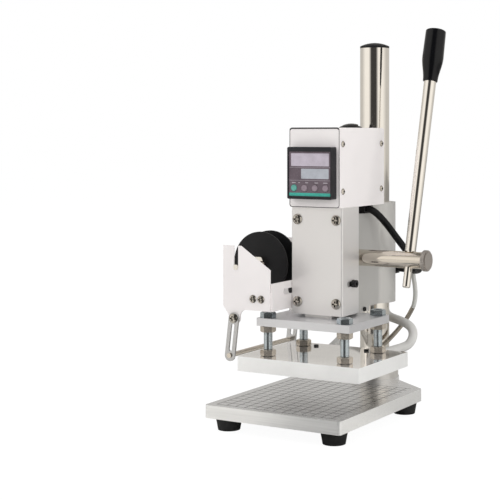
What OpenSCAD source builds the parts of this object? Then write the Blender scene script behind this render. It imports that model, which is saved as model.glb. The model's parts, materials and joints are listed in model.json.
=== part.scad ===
// Bench hot foil stamping press: a heated plate on a rack-driven ram, worked by a side lever.
// Millimetres. +X is the machine's right, -Y its front, +Z up.
// The origin lies on the work bed, under the middle of the heater plate.

/* [Base] */
// Width of the base plate
base_w = 142; // [120:1:180]
// Distance from the stamping axis to the front edge
base_front = 95.5; // [80:0.5:120]
// Distance from the stamping axis to the end of the straight sides
base_side = 67.5; // [60:0.5:85]
// Thickness of the base plate
base_t = 12; // [10:0.5:20]
// Radius of the front corners
base_corner = 3; // [1:0.5:8]
// Radius of the round tail under the column
tail_r = 25; // [24:0.5:34]
// Distance from the column axis forward to the tail's shoulder
tail_shoulder = 3.7; // [0:0.1:10]
// Height of a rubber foot
foot_h = 12; // [8:0.5:20]
// Diameter of a foot at the base plate
foot_top_d = 25; // [20:0.5:28]
// Diameter of a foot at the floor
foot_low_d = 20.5; // [16:0.5:24]
// Distance from a foot's axis to the side edge
foot_side = 15.5; // [13:0.5:24]
// Distance from a front foot's axis to the front edge
foot_front = 17.5; // [13:0.5:30]
// Distance from a rear foot's axis to the end of the straight sides
foot_rear = 5.5; // [4:0.5:30]
// Diameter of the foot screws
foot_screw_d = 4; // [3:0.5:5]

/* [Column] */
// Distance from the stamping axis to the column axis
column_y = 106; // [100:0.5:125]
// Diameter of the column
column_d = 30; // [26:0.5:34]
// Wall of the column tube
column_wall = 3; // [2:0.5:5]
// Height of the column above the work bed
column_top = 336; // [336:1:400]
// Height of the solid foot of the column
column_plug = 20; // [18:1:40]
// Diameter of the screw that holds the column
column_screw_d = 8; // [6:1:10]
// Width of the foot ring's rim around the column
ring_rim = 9.2; // [5:0.1:9.5]
// Height of the foot ring above the bed
ring_h = 11; // [6:0.5:20]
// Depth of the seat in the base plate for the column and its ring
seat_depth = 1; // [0.5:0.1:3]
// Height of the column's cap
cap_h = 5.5; // [4:0.5:10]
// Height of the cap's upright rim
cap_rim = 2; // [1:0.5:3]

/* [Stamping plates] */
// Width of the heater plate
heater_w = 130; // [110:1:132]
// Depth of the heater plate
heater_d = 100; // [90:1:110]
// Thickness of the heater plate
heater_t = 14; // [13:0.5:20]
// Height of the heater's underside above the bed with the ram up
work_gap = 24; // [24:0.5:40]
// Clear height between the heater and the upper plate
plate_gap = 28.5; // [20:0.5:40]
// Width of the upper plate
upper_w = 100; // [96:1:120]
// Depth of the upper plate
upper_d = 80; // [78:1:100]
// Thickness of the upper plate
upper_t = 7.5; // [6:0.5:12]
// Diameter of the levelling bolts
bolt_d = 8; // [6:1:8]
// Width across flats of the bolt heads and nuts
bolt_af = 13; // [11:0.5:14]
// Thickness of a nut
nut_h = 6; // [4:0.5:8]
// Height of a bolt head
bolt_head_h = 5.5; // [4:0.5:8]
// Distance from the upper plate's sides to the bolts
bolt_side = 8.5; // [8:0.5:15]
// Distance from the upper plate's front and rear edges to the bolts
bolt_end = 7; // [7:0.5:10]
// Diameter of a cartridge heater
cartridge_d = 10; // [6:0.5:10]
// Length of a cartridge heater
cartridge_l = 90; // [60:1:95]
// Length of a cartridge that stands out of the heater's rear face
cartridge_out = 6; // [4:0.5:10]
// Distance from the bolts' axes to the cartridges' axes
cartridge_apart = 13.5; // [12:0.5:20]
// Distance from the heater's rear edge to the set screws
set_screw_in = 15.5; // [10:0.5:30]
// Diameter of the temperature probe
probe_d = 5; // [3:0.5:6]
// Distance from the right cartridge's axis to the temperature probe
probe_apart = 14; // [12:0.5:24]
// Length of the probe inside the heater
probe_in = 30; // [15:1:60]

/* [Head] */
// Gap between the head and the upper plate, where the ram shows
ram_show = 2.8; // [2:0.1:10]
// Height of the head
head_h = 101.7; // [98:0.1:120]
// Width of the front cover
cover_w = 55.6; // [52:0.2:62]
// Distance from the stamping axis to the cover's front face
cover_front = 13; // [12:0.5:18]
// Depth of the front cover
cover_d = 32.5; // [30:0.5:40]
// Thickness of the cover's sides
cover_side_t = 2.5; // [1.5:0.1:3.5]
// Thickness of the cover's front
cover_front_t = 3; // [2:0.1:4]
// Radius of the cover's front edges
cover_edge = 1.5; // [0.5:0.1:2]
// Distance between the cover screws across the face
cover_screw_x = 42; // [40:0.2:44]
// Distance from the cover's ends to its screws
cover_screw_end = 11.6; // [8:0.2:20]
// Half width of the neck behind the drive
neck_half = 13.5; // [12:0.5:16]
// Wall of the collar around the column
collar_wall = 6.35; // [5:0.05:10]
// Radius of the hollow fillet between neck and collar
collar_fillet = 8; // [4:0.5:12]
// Length of the lug under the neck, behind the upper plate
lug_l = 27; // [15:0.5:32]
// Length of the cable notch in the neck
notch_l = 29.5; // [20:0.5:32]
// Depth of the cable notch in the neck
notch_h = 9; // [8:0.5:14]

/* [Ram and drive] */
// Width of the ram
ram_w = 29; // [26:0.5:31]
// Height of the ram's top below the head's top
ram_drop = 6.5; // [6:0.5:12]
// Gear module of rack and pinion
gear_module = 1.25; // [1:0.05:1.4]
// Number of teeth on the pinion
gear_teeth = 18; // [16:1:18]
// Width of the rack and pinion
gear_w = 16; // [12:0.5:16]
// Distance from the stamping axis to the drive shaft
shaft_y = 31; // [31:0.5:36]
// Height of the drive shaft above the head's underside
shaft_up = 51.9; // [48:0.1:56]
// Diameter of the drive shaft
shaft_d = 16; // [14:0.5:16]
// Outer diameter of the shaft bushes
bush_d = 20; // [19.5:0.5:22]
// Distance from the machine's middle to the shaft's right end
shaft_reach = 91.4; // [84:0.2:100]
// Thickness of the gib strip beside the ram
gib_t = 2; // [1.5:0.1:3]
// Width of the gib strip
gib_w = 11; // [9:0.5:13]
// Height of the gib screw above the head's underside
gib_screw_up = 29.2; // [20:0.2:34]
// Diameter of the gib screw
gib_screw_d = 4; // [3:0.5:5]
// Mean diameter of the return spring
spring_d = 7; // [6:0.5:8]
// Wire diameter of the return spring
spring_wire = 1.2; // [0.8:0.1:1.5]
// Number of curls of the return spring
spring_turns = 18; // [10:1:20]
// Length of the return spring at rest
spring_l = 60; // [50:1:70]

/* [Lever] */
// Distance from the machine's middle to the lever
lever_x = 76; // [70:0.2:79]
// Lean of the lever towards the back at rest, in degrees
lever_lean = 15.2; // [0:0.2:20]
// Diameter of the lever rod at the grip
lever_d = 12; // [10:0.2:13]
// Diameter of the lever rod at the shaft
lever_low_d = 10.6; // [9:0.2:13]
// Diameter of the rod where it passes through the shaft
spigot_d = 7.5; // [5:0.5:8]
// Length of the rod below the shaft axis
lever_tail = 26.4; // [12:0.2:40]
// Distance from the shaft axis to the lower end of the grip
grip_from = 176.4; // [140:0.1:200]
// Length of the grip
grip_l = 52.8; // [45:0.1:80]
// Greatest diameter of the grip
grip_d = 21; // [18:0.5:28]
// Diameter of the grip's lower end
grip_low_d = 14.5; // [14:0.5:18]
// Diameter of the grip at its top
grip_top_d = 20; // [18:0.5:28]
// Diameter of the knurled cap on the shaft's end
end_cap_d = 20; // [18:0.5:26]
// Thickness of the knurled cap
end_cap_t = 4.8; // [4:0.2:10]
// Number of ridges on the knurled cap
end_cap_ridges = 36; // [24:1:48]

/* [Control box] */
// Width of the control box
box_w = 54.8; // [54:0.2:64]
// Depth of the control box
box_d = 90.8; // [88:0.2:110]
// Height of the control box
box_h = 75.5; // [68:0.5:90]
// Distance that the box stands out ahead of the front cover
box_over = 4.4; // [0:0.2:10]
// Thickness of the box's sheet
box_t = 1.5; // [1:0.1:2]
// Radius of the box's long edges and of its front panel's corners
box_edge = 2.5; // [2:0.1:5]
// Distance from the box's ends to its side screws
box_screw_end = 6.2; // [5:0.2:12]
// Distance from the box's floor and lid to its side screws
box_screw_up = 15.5; // [10:0.5:25]
// Width of the controller's bezel
bezel_w = 48; // [46:0.5:50]
// Height of the controller's bezel
bezel_h = 49; // [46:0.5:50]
// Distance that the bezel stands out of the panel
bezel_t = 9.7; // [5:0.1:12]
// Height of the bezel's lower edge above the box's floor
bezel_up = 8.3; // [6:0.1:18]
// Side of the controller's body behind the panel
controller_w = 44.6; // [40:0.2:45]
// Depth of the controller's body behind the panel
controller_l = 60; // [40:1:65]
// Width of the controller's face
face_w = 45.4; // [40:0.2:46]
// Height of the controller's face
face_h = 42; // [38:0.2:43]
// Distance from the bezel's lower edge to the face
face_up = 2.7; // [2:0.1:3]
// Depth of the face behind the bezel's rim
face_sink = 1; // [0.5:0.1:2]
// Diameter of a controller button
button_d = 6.2; // [4:0.1:7]
// Distance between neighbouring buttons
button_pitch = 11.4; // [9:0.1:11.5]
// Height of the buttons above the bezel's lower edge
button_up = 10.4; // [8:0.1:12]
// Travel of a button
button_travel = 0.6; // [0.4:0.1:1]
// Outer diameter of the power switch's rim
switch_d = 23; // [22:0.5:26]
// Distance from the box's rear to the power switch's axis
switch_in = 19.4; // [15:0.2:22]
// Height of the power switch's domed top
switch_dome = 3.8; // [3:0.1:5]
// Tilt of the rocker at rest, in degrees
rocker_tilt = 7; // [4:0.5:9]
// Width of the power inlet's flange
inlet_w = 30; // [28:0.5:34]
// Height of the power inlet's flange
inlet_h = 23; // [22:0.5:28]

/* [Foil bracket] */
// Thickness of the bracket's sheet
sheet_t = 1.5; // [1:0.1:2]
// Distance from the cover's side to the bracket's outer edge
bracket_w = 54.2; // [50:0.2:60]
// Distance from the cover's front to the bracket's front face
bracket_front = 36; // [34:0.5:44]
// Distance between the outer faces of the front and rear plates
bracket_d = 109; // [105:0.5:130]
// Height of the bracket's top above the head's underside
bracket_up = 65.4; // [60:0.2:75]
// Height of the bracket's lower edge above the head's underside
bracket_low = 5.2; // [3:0.2:10]
// Height of the side plate
side_plate_h = 26; // [24:0.5:32]
// Distance from the cover's side to the reel's axle
reel_out = 39.7; // [39:0.1:43]
// Height of the reel's axle above the head's underside
reel_up = 45; // [43:0.2:50]
// Diameter of the reel's discs
reel_d = 61.5; // [50:0.5:66]
// Thickness of a reel disc
reel_disc_t = 1.6; // [1:0.1:3]
// Clear distance between the reel's discs
reel_gap = 17; // [10:0.5:40]
// Distance from the cover's front to the reel's front disc
reel_back = 7; // [2:0.5:12]
// Diameter of the reel's core
reel_core_d = 26; // [16:0.5:40]
// Diameter of the reel's axle
axle_d = 5; // [4:0.2:5.6]
// Length of a guide arm between its two axes
arm_l = 35.8; // [30:0.1:40]
// Lean of a guide arm, in degrees
arm_lean = 7; // [0:0.5:10]
// Width of a guide arm
arm_w = 11; // [9:0.5:12]
// Thickness of a guide arm
arm_t = 2; // [1.5:0.1:3]
// Diameter of the foil guide rod
guide_d = 4.8; // [4:0.2:6]

/* [Leads] */
// Diameter of the black harness sleeve
harness_d = 7; // [5:0.5:7.5]
// Diameter of the white heater sleeves
sleeve_d = 9; // [6:0.5:9]
// Diameter of the sensor lead
sensor_d = 4.6; // [3:0.2:5]

/* [Clearances] */
// Radial play of a turning shaft
run_play = 0.05; // [0.03:0.01:0.08]
// Play of a sliding piece on each side
slide_play = 0.08; // [0.04:0.01:0.15]
// Play of a piece that is only set in place
set_play = 0.1; // [0.05:0.05:0.2]
// Play beside a pressed button or a swinging arm
free_play = 0.25; // [0.2:0.05:0.35]

/* [Hidden] */
$fn = 64;
bite = 1;

// Levels, from the bed upwards
foot_z = -base_t - foot_h;
heater_z0 = work_gap;
heater_z1 = heater_z0 + heater_t;
heater_mid = heater_z0 + heater_t / 2;
upper_z0 = heater_z1 + plate_gap;
upper_z1 = upper_z0 + upper_t;
head_z0 = upper_z1 + ram_show;
head_z1 = head_z0 + head_h;
box_z0 = head_z1;
box_z1 = box_z0 + box_h;

// Stand
foot_xs = [-base_w / 2 + foot_side, base_w / 2 - foot_side];
foot_ys = [-base_front + foot_front, base_side - foot_rear];
foot_recess = foot_h / 2;
foot_screw_head = 2.4;
foot_screw_grip = 7;
column_r = column_d / 2;
column_z0 = -seat_depth;
ring_r = column_r + ring_rim;
cap_plug = 8;
column_bore_r = column_r - column_wall;
column_head_h = 5;
column_head_d = column_screw_d * 1.6;
column_sink = column_head_h + 1;
column_screw_in = 14;

// Drive
pitch_r = gear_module * gear_teeth / 2;
pressure = 20;
gear_base_r = pitch_r * cos(pressure);
gear_tip_r = pitch_r + gear_module;
gear_root_r = pitch_r - 1.25 * gear_module;
gear_pitch = PI * gear_module;
backlash = 0.25;
shaft_r = shaft_d / 2;
shaft_z = head_z0 + shaft_up;
pocket_play = 0.7;
pocket_r = gear_tip_r + pocket_play;
pocket_half = gear_w / 2 + free_play;
pitch_y = shaft_y - pitch_r;
rack_root_y = pitch_y - 1.25 * gear_module;
rack_tip_y = pitch_y + gear_module;
rack_low = 4;
bush_x1 = neck_half + 1;
shaft_left = bush_x1 + 1;

// Head in plan
cover_half = cover_w / 2;
cover_y0 = -cover_front;
cover_y1 = cover_y0 + cover_d;
head_half = cover_half - cover_side_t;
head_y0 = cover_y0 + cover_front_t;
neck_y = shaft_y + pocket_r;
collar_r = column_r + collar_wall;
collar_bore_r = column_r + slide_play;
fillet_x = neck_half + collar_fillet;
fillet_y = column_y - sqrt(pow(collar_r + collar_fillet, 2) - pow(fillet_x, 2));
fillet_turn = acos(fillet_x / (collar_r + collar_fillet));
fillet_steps = 12;
lug_drop = 4.5;
lug_gap = 1.5;
lug_y0 = upper_d / 2 + lug_gap;
lug_y1 = lug_y0 + lug_l;
lug_screw_d = 4.4;
lug_screw_y = (lug_y0 + lug_y1) / 2 + 2;
lug_screw_z = head_z0 - lug_drop + lug_screw_d * 0.6;
lug_screw_in = 8;
lug_screw_out = 1.6;
notch_y0 = neck_y + 2;
notch_y1 = notch_y0 + notch_l;
notch_z = head_z1 - notch_h;
clamp_screw_d = 8;
clamp_screw_ends = [0.13, 0.78];
set_screw_out = 0.5;

// Ram
ram_half = ram_w / 2;
ram_y0 = head_y0 + slide_play;
ram_y1 = rack_root_y;
ram_z0 = upper_z1;
ram_z1 = head_z1 - ram_drop;
rack_high = floor((ram_z1 - shaft_z) / gear_pitch - 0.5);
gib_y = (ram_y0 + ram_y1) / 2 + 3.5;
gib_x0 = ram_half + slide_play;
gib_x1 = gib_x0 + gib_t;
gib_end = 1.5;
gib_slot_h = gib_screw_d + 1;
gib_slot_front = 9;
gib_head_d = gib_screw_d * 1.8;
gib_head_h = gib_screw_d * 1.05;
ram_screw_d = 5;
ram_screw_x = 9.5;
ram_screw_ys = [ram_y0 + 5, ram_y1 - 5];
ram_screw_l = 18;
spring_y = (ram_y0 + ram_y1) / 2;
spring_bore_r = (spring_d + spring_wire) / 2 + 0.6;
anchor_r = 1.5;
anchor_z = head_z1 - 3;
anchor_half = ram_half + 5;
spring_z1 = anchor_z - anchor_r;
spring_z0 = spring_z1 - spring_l;

// Levelling bolts and screws
bolt_xs = [bolt_side - upper_w / 2, upper_w / 2 - bolt_side];
bolt_ys = [bolt_end - upper_d / 2, upper_d / 2 - bolt_end];
bolt_in = 8;
bolt_turned = 0.8;
bolt_dish = 2;
bolt_dish_d = bolt_af * 0.58;
cartridge_xs = [bolt_xs[0] + cartridge_apart, bolt_xs[1] - cartridge_apart];
cartridge_y1 = heater_d / 2 + cartridge_out;
heater_set_d = 4.8;
heater_set_out = 1.5;
heater_set_y = heater_d / 2 - set_screw_in;
probe_x = cartridge_xs[1] - probe_apart;
probe_out = 10;
probe_y1 = heater_d / 2 + probe_out;
cover_screw_d = 4;
cover_head_d = 10;
cover_head_h = 3.2;
cover_screw_in = 9;
cover_screw_zs = [head_z0 + cover_screw_end, head_z1 - cover_screw_end];

// Lever
spigot_r = spigot_d / 2;
lever_r = lever_d / 2;
grip_depth = grip_l * 0.66;
grip_full = 0.48;
grip_soft = 1.2;
grip_steps = 9;

// Control box
box_half = box_w / 2;
box_y0 = cover_y0 - box_over;
box_y1 = box_y0 + box_d;
panel_y = box_y0 + box_t;
rear_y = box_y1 - box_t;
post_w = 10;
post_t = 2;
box_screw_d = 3;
box_head_d = 6;
box_head_h = 1.8;
box_screw_l = box_t + post_t + 1;
box_screw_ys = [box_y0 + box_screw_end, box_y1 - box_screw_end];
box_screw_zs = [box_z0 + box_screw_up, box_z1 - box_screw_up];
bezel_z0 = box_z0 + bezel_up;
bezel_z1 = bezel_z0 + bezel_h;
bezel_mid = bezel_z0 + bezel_h / 2;
bezel_y0 = box_y0 - bezel_t;
bezel_edge = 1.5;
face_t = 1.2;
face_y0 = bezel_y0 + face_sink;
face_y1 = face_y0 + face_t;
face_zs = [bezel_z0 + face_up, bezel_z0 + face_up + face_h];
button_z = bezel_z0 + button_up;
button_out = 0.9;
button_l = 4;
button_y0 = face_y0 - button_out;
button_soft = 0.4;
button_room = 0.4;
button_xs = [for (i = [0:3]) (i - 1.5) * button_pitch];
switch_y = box_y1 - switch_in;
switch_lip = 0.6;
switch_crown = switch_dome - switch_lip;
switch_dome_r = (switch_d * switch_d / 4 + switch_crown * switch_crown) / (2 * switch_crown);
switch_barrel_r = switch_d / 2 - 1.5;
switch_depth = 18;
switch_well_r = switch_barrel_r - 1.2;
switch_floor = 4;
rocker_play = 0.9;
rocker_r = switch_well_r - rocker_play;
rocker_low = 2;
rocker_axis_z = box_z1 - 2;
rocker_pin_r = 1;
rocker_pin_in = 0.6;
inlet_depth = 20;
inlet_flange_t = 2;
inlet_barrel_w = inlet_w - 5;
inlet_barrel_h = inlet_h - 5;
inlet_wall = 1.5;
inlet_z = box_z0 + 27;
inlet_pin_xs = [-7, 0, 7];
inlet_well = 16;
wire_hole_r = 5;
wire_hole_y = (notch_y0 + notch_y1) / 2;

// Foil bracket, reel and guide
side_x = -cover_half;
bracket_x0 = side_x - bracket_w;
bracket_x1 = side_x - sheet_t - 0.2;
bracket_y0 = cover_y0 - bracket_front;
bracket_y1 = bracket_y0 + bracket_d;
bracket_z0 = head_z0 + bracket_low;
bracket_z1 = head_z0 + bracket_up;
flange_l = 28;
flange_x = side_x - flange_l;
flange_h = 17;
slope_l = 34.5;
slope_x0 = side_x - slope_l;
slope_h = 21.5;
slope_z1 = bracket_z1 - slope_h;
reel_x = side_x - reel_out;
reel_z = head_z0 + reel_up;
reel_y0 = cover_y0 + reel_back;
reel_y1 = reel_y0 + 2 * reel_disc_t + reel_gap;
axle_r = axle_d / 2;
axle_slot_r = axle_r + run_play;
axle_over = 0.6;
hub_af = 13;
hub_h = 5;
pivot_out = 1.3;
pivot_down = 3.1;
pivot_x = reel_x - pivot_out;
pivot_z = head_z0 - pivot_down;
pivot_lobe = 6;
lobe_corner = [8.2, 4.7];
lobe_fillet = 6.5;
lobe_steps = 20;
bracket_corner = 2.7;
pivot_r = 2.5;
pivot_head_r = 4.5;
pivot_head_h = 2.5;
arm_front_y = bracket_y0 - free_play - arm_t;
arm_rear_y = bracket_y1 + free_play;
guide_x = pivot_x - arm_l * sin(arm_lean);
guide_z = pivot_z - arm_l * cos(arm_lean);
guide_over = 1.5;
arm_slot_w = 3.5;
arm_slot = [7, 30];
bracket_screw_out = [20.5, 11.5];
bracket_screw_up = 11;
bracket_screw_xs = [for (out = bracket_screw_out) side_x - out];
bracket_screw_z = bracket_z0 + bracket_screw_up;
bracket_screw_d = 4;
bracket_head_d = 7.5;
bracket_head_h = 2.4;
clamp_slot_h = 5.5;
clamp_slot_from = -12;
clamp_slot_l = 41;
clamp_slot_ys = [cover_y0 + clamp_slot_from, cover_y0 + clamp_slot_from + clamp_slot_l];
clamp_backs = [9, 25];
clamp_ys = [for (back = clamp_backs) cover_y0 + back];
clamp_up = 16.5;
clamp_z = bracket_z0 + clamp_up;
clamp_d = 5;
clamp_head_d = 8.5;
clamp_head_h = 5;
clamp_in = 8;

// Leads: the routes' points are chosen by hand
clip_x = [-20, 12];
clip_y1 = 139;
clip_z = [103, 114];
grommet_x1 = 15;
grommet_l = 12;
harness_route = [
    [15, 60, 174], [19, 61.5, 173], [22.5, 66, 169.5], [26, 72, 163.5], [31, 76.5, 155.5],
    [36, 80.5, 147], [41, 86, 137.5], [44.5, 93, 129], [47, 101, 121], [47.5, 109, 114.5],
    [45.5, 116, 110.5], [40.5, 122, 108.5], [33.5, 127.5, 107.5], [26.5, 131.5, 107.5],
    [20, 133, 108], [12, 133, 108.5]
];
sensor_route = [
    [33.5, 127.5, 107.5], [33.5, 127.5, 103], [35, 128, 93], [35.5, 128.5, 82.5], [33.5, 129.5, 72.5],
    [30, 130.5, 66], [25, 130, 57.5], [20.5, 125, 49.5], [20.5, 108, 43], [19, 91.5, 36.5],
    [16.5, 76, 32.5], [14, 66.5, 31], [14, 60, 31]
];
right_route = [
    [-4, 133, 103], [-4, 133.5, 89], [-4, 134, 76], [-3, 133.5, 66.5], [1.5, 131, 60], [8, 127.5, 57.5],
    [15.5, 122.5, 57], [25.5, 115, 56.5], [35.5, 107.5, 55.5], [42.5, 103, 53], [46.5, 99.5, 49.5],
    [48, 96.5, 45], [47.5, 93, 40.5], [45.5, 89, 37], [41.5, 84, 35], [37, 77.5, 33.5],
    [32, 69, 32], [28, 61.5, 31], [28, 56, 31]
];
left_route = [
    [-15, 133, 103], [-15, 133, 90], [-15.5, 132.5, 78], [-17.5, 130.5, 67], [-21, 126.5, 58.5],
    [-24, 120, 52.5], [-25.5, 111.5, 49], [-25.5, 100.5, 46], [-25.5, 89.5, 42], [-26.5, 78.5, 37.5],
    [-27.5, 69, 33.5], [-28, 61.5, 31], [-28, 56, 31]
];
harness_sides = 10;
sensor_sides = 8;

// Return spring
spring_sides = 6;
spring_rings = 8;
spring_lead = 5;
spring_top = spring_z1 - spring_lead;
spring_wind = spring_l - 2 * spring_lead;
spring_steps = spring_turns * spring_rings;
spring_route = concat(
    [[0, spring_y, spring_z1], [0, spring_y, spring_z1 - spring_lead / 2]],
    [for (i = [0:spring_steps])
        let (a = 360 * i / spring_rings, z = spring_top - spring_wind * i / spring_steps)
        [spring_d / 2 * cos(a), spring_y + spring_d / 2 * sin(a), z]],
    [[0, spring_y, spring_z0 + spring_lead / 2], [0, spring_y, spring_z0]]
);
spring_self_gap = min([for (i = [2:spring_steps - spring_rings])
    norm(spring_route[i + spring_rings] - spring_route[i])]) - spring_wire;
echo(return_spring_least_gap = spring_self_gap);

// Pinion's flanks and the grip's profile
flank_steps = 5;
flank_radii = [for (i = [0:flank_steps]) gear_base_r + (gear_tip_r - gear_base_r) * i / flank_steps];
grip_profile = concat(
    [[0, 0], [grip_low_d / 2 - 1, 0]],
    [for (i = [0:grip_steps])
        let (t = i / grip_steps, swell = (1 - cos(180 * t)) / 2)
        [(grip_low_d + (grip_d - grip_low_d) * swell) / 2, 1 + t * (grip_l * grip_full - 1)]],
    arc([grip_top_d / 2 - grip_soft, grip_l - grip_soft], grip_soft, 0, 90, grip_steps),
    [[0, grip_l]]
);

// Shapes that repeat

module block(x, y, z) {
    translate([x[0], y[0], z[0]]) cube([x[1] - x[0], y[1] - y[0], z[1] - z[0]]);
}

// A flat shape drawn in Y and Z, drawn out along X
module along_x(x) {
    translate([x[0], 0, 0]) rotate([90, 0, 90]) linear_extrude(x[1] - x[0]) children();
}

// A flat shape drawn in X and Z, drawn out along Y
module along_y(y) {
    translate([0, y[1], 0]) rotate([90, 0, 0]) linear_extrude(y[1] - y[0]) children();
}

module along_z(z) {
    translate([0, 0, z[0]]) linear_extrude(z[1] - z[0]) children();
}

module rod_x(x, y, z, r) {
    translate([x[0], y, z]) rotate([0, 90, 0]) cylinder(h = x[1] - x[0], r = r);
}

module rod_y(x, y, z, r) {
    translate([x, y[0], z]) rotate([-90, 0, 0]) cylinder(h = y[1] - y[0], r = r);
}

module rod_z(x, y, z, r) {
    translate([x, y, z[0]]) cylinder(h = z[1] - z[0], r = r);
}

module hexagon(af) {
    circle(r = af / sqrt(3), $fn = 6);
}

// A rectangle about its middle with round corners
module round_plate(w, h, r) {
    square([w - 2 * r, h], center = true);
    square([w, h - 2 * r], center = true);
    for (x = [-w / 2 + r, w / 2 - r], y = [-h / 2 + r, h / 2 - r]) translate([x, y]) circle(r);
}

// A slot between two points on one level
module slot_2d(u, v, w) {
    for (x = u) translate([x, v]) circle(w / 2);
    translate([u[0], v - w / 2]) square([u[1] - u[0], w]);
}

// A cross-recessed screw whose head sits on z = 0 and whose shank points down
module cross_screw(head_d, head_h, d, l) {
    cross_l = head_d * 0.58;
    cross_w = head_d * 0.16;
    dome_h = head_h * 0.75;
    dome_r = (head_d * head_d / 4 + dome_h * dome_h) / (2 * dome_h);
    difference() {
        union() {
            intersection() {
                cylinder(h = 2 * head_h, d = head_d);
                translate([0, 0, head_h - dome_r]) sphere(dome_r);
            }
            translate([0, 0, -l]) cylinder(h = l + bite, d = d);
        }
        for (turn = [0, 90]) rotate(turn) translate([-cross_l / 2, -cross_w / 2, head_h * 0.3])
            cube([cross_l, cross_w, head_h]);
    }
}

// A socket-head screw whose head sits on z = 0 and whose shank points down
module socket_screw(head_d, head_h, d, l) {
    difference() {
        union() {
            cylinder(h = head_h, d = head_d);
            translate([0, 0, -l]) cylinder(h = l, d = d);
        }
        translate([0, 0, head_h * 0.45]) linear_extrude(head_h) hexagon(d * 0.8);
    }
}

// A headless set screw from z = 0 up, with its socket at the top
module set_screw(d, l) {
    difference() {
        cylinder(h = l, d = d);
        translate([0, 0, l * 0.45]) linear_extrude(l) hexagon(d * 0.52);
    }
}

// A tube swept along a route, whose ends are square to the given directions
function unit(v) = v / norm(v);
function heading(p, i, first, last) =
    i == 0 ? unit(first) : i == len(p) - 1 ? unit(last) : unit(unit(p[i + 1] - p[i]) + unit(p[i] - p[i - 1]));
function square_to(v, t) = unit(v - t * (v * t));
function side_at(p, i, first, last) =
    i == 0 ? square_to(abs(first[2]) < 0.9 ? [0, 0, 1] : [1, 0, 0], unit(first))
    : square_to(side_at(p, i - 1, first, last), heading(p, i, first, last));
function ring_at(p, i, r, n, first, last) =
    let (t = heading(p, i, first, last), u = side_at(p, i, first, last), v = cross(t, u))
    [for (k = [0:n - 1]) p[i] + r * (cos(360 * k / n) * u + sin(360 * k / n) * v)];

module route_tube(p, r, n, first, last) {
    points = [for (i = [0:len(p) - 1]) each ring_at(p, i, r, n, first, last)];
    top = (len(p) - 1) * n;
    sides = [for (i = [0:len(p) - 2], k = [0:n - 1])
        let (a = i * n + k, b = i * n + (k + 1) % n) each [[a, a + n, b], [b, a + n, b + n]]];
    start = [for (k = [1:n - 2]) [0, k, k + 1]];
    end = [for (k = [1:n - 2]) [top, top + k + 1, top + k]];
    polyhedron(points, concat(sides, start, end), convexity = 6);
}

// Stand

module base_outline() {
    half = base_w / 2;
    c = base_corner;
    polygon([
        [-half + c, -base_front], [half - c, -base_front], [half, -base_front + c], [half, base_side],
        [tail_r, column_y - tail_shoulder], [tail_r, column_y], [-tail_r, column_y],
        [-tail_r, column_y - tail_shoulder], [-half, base_side], [-half, -base_front + c]
    ]);
    for (x = [-half + c, half - c]) translate([x, -base_front + c]) circle(c);
    translate([0, column_y]) circle(tail_r);
}

module base_plate() {
    color("#cfd1d2") difference() {
        along_z([-base_t, 0]) base_outline();
        for (x = foot_xs, y = foot_ys)
            rod_z(x, y, [-base_t - bite, -base_t + foot_screw_grip + bite], foot_screw_d / 2);
        rod_z(0, column_y, [-base_t - bite, bite], column_screw_d / 2 + set_play);
        rod_z(0, column_y, [-base_t - bite, -base_t + column_sink], column_head_d / 2 + free_play);
        rod_z(0, column_y, [column_z0, bite], ring_r + set_play);
    }
}

module rubber_feet() {
    color("#161616") for (x = foot_xs, y = foot_ys) difference() {
        translate([x, y, foot_z]) cylinder(h = foot_h, d1 = foot_low_d, d2 = foot_top_d);
        rod_z(x, y, [foot_z - bite, foot_z + foot_recess], foot_screw_d + 0.8);
        rod_z(x, y, [foot_z, -base_t + bite], foot_screw_d / 2 + set_play);
    }
}

module base_screws() {
    color("#8f9294") {
        for (x = foot_xs, y = foot_ys) translate([x, y, foot_z + foot_recess]) rotate([180, 0, 0])
            cross_screw(foot_screw_d * 2, foot_screw_head, foot_screw_d, foot_recess + foot_screw_grip);
        translate([0, column_y, -base_t + column_sink]) rotate([180, 0, 0])
            socket_screw(column_head_d, column_head_h, column_screw_d,
                base_t - column_sink + column_z0 + column_screw_in);
    }
}

module column() {
    color("#d6d6d4") difference() {
        rod_z(0, column_y, [column_z0, column_top], column_r);
        rod_z(0, column_y, [column_plug, column_top + bite], column_bore_r);
        rod_z(0, column_y, [column_z0 - bite, column_z0 + column_screw_in + bite], column_screw_d / 2);
    }
}

module column_foot_ring() {
    inner = column_r + set_play;
    soft = 1;
    color("#c4c5c5") translate([0, column_y, 0]) rotate_extrude() polygon([
        [inner, column_z0], [ring_r, column_z0], [ring_r, ring_h - soft],
        [ring_r - soft, ring_h], [inner, ring_h]
    ]);
}

module column_cap() {
    dome_h = cap_h - cap_rim;
    dome_r = (column_r * column_r + dome_h * dome_h) / (2 * dome_h);
    color("#1b1b1b") {
        intersection() {
            rod_z(0, column_y, [column_top, column_top + cap_h + bite], column_r);
            translate([0, column_y, column_top + cap_h - dome_r]) sphere(dome_r);
        }
        rod_z(0, column_y, [column_top - cap_plug, column_top], column_bore_r - set_play);
    }
}

// Head

// The neck runs into the collar by a hollow fillet on each side
module head_outline() {
    polygon(concat(
        [[-head_half, head_y0], [head_half, head_y0], [head_half, ram_y1], [neck_half, neck_y]],
        arc([fillet_x, fillet_y], collar_fillet, 180, 180 - fillet_turn, fillet_steps),
        [[0, column_y]],
        arc([-fillet_x, fillet_y], collar_fillet, fillet_turn, 0, fillet_steps),
        [[-neck_half, neck_y], [-head_half, ram_y1]]
    ));
    translate([0, column_y]) circle(collar_r);
}

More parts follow.
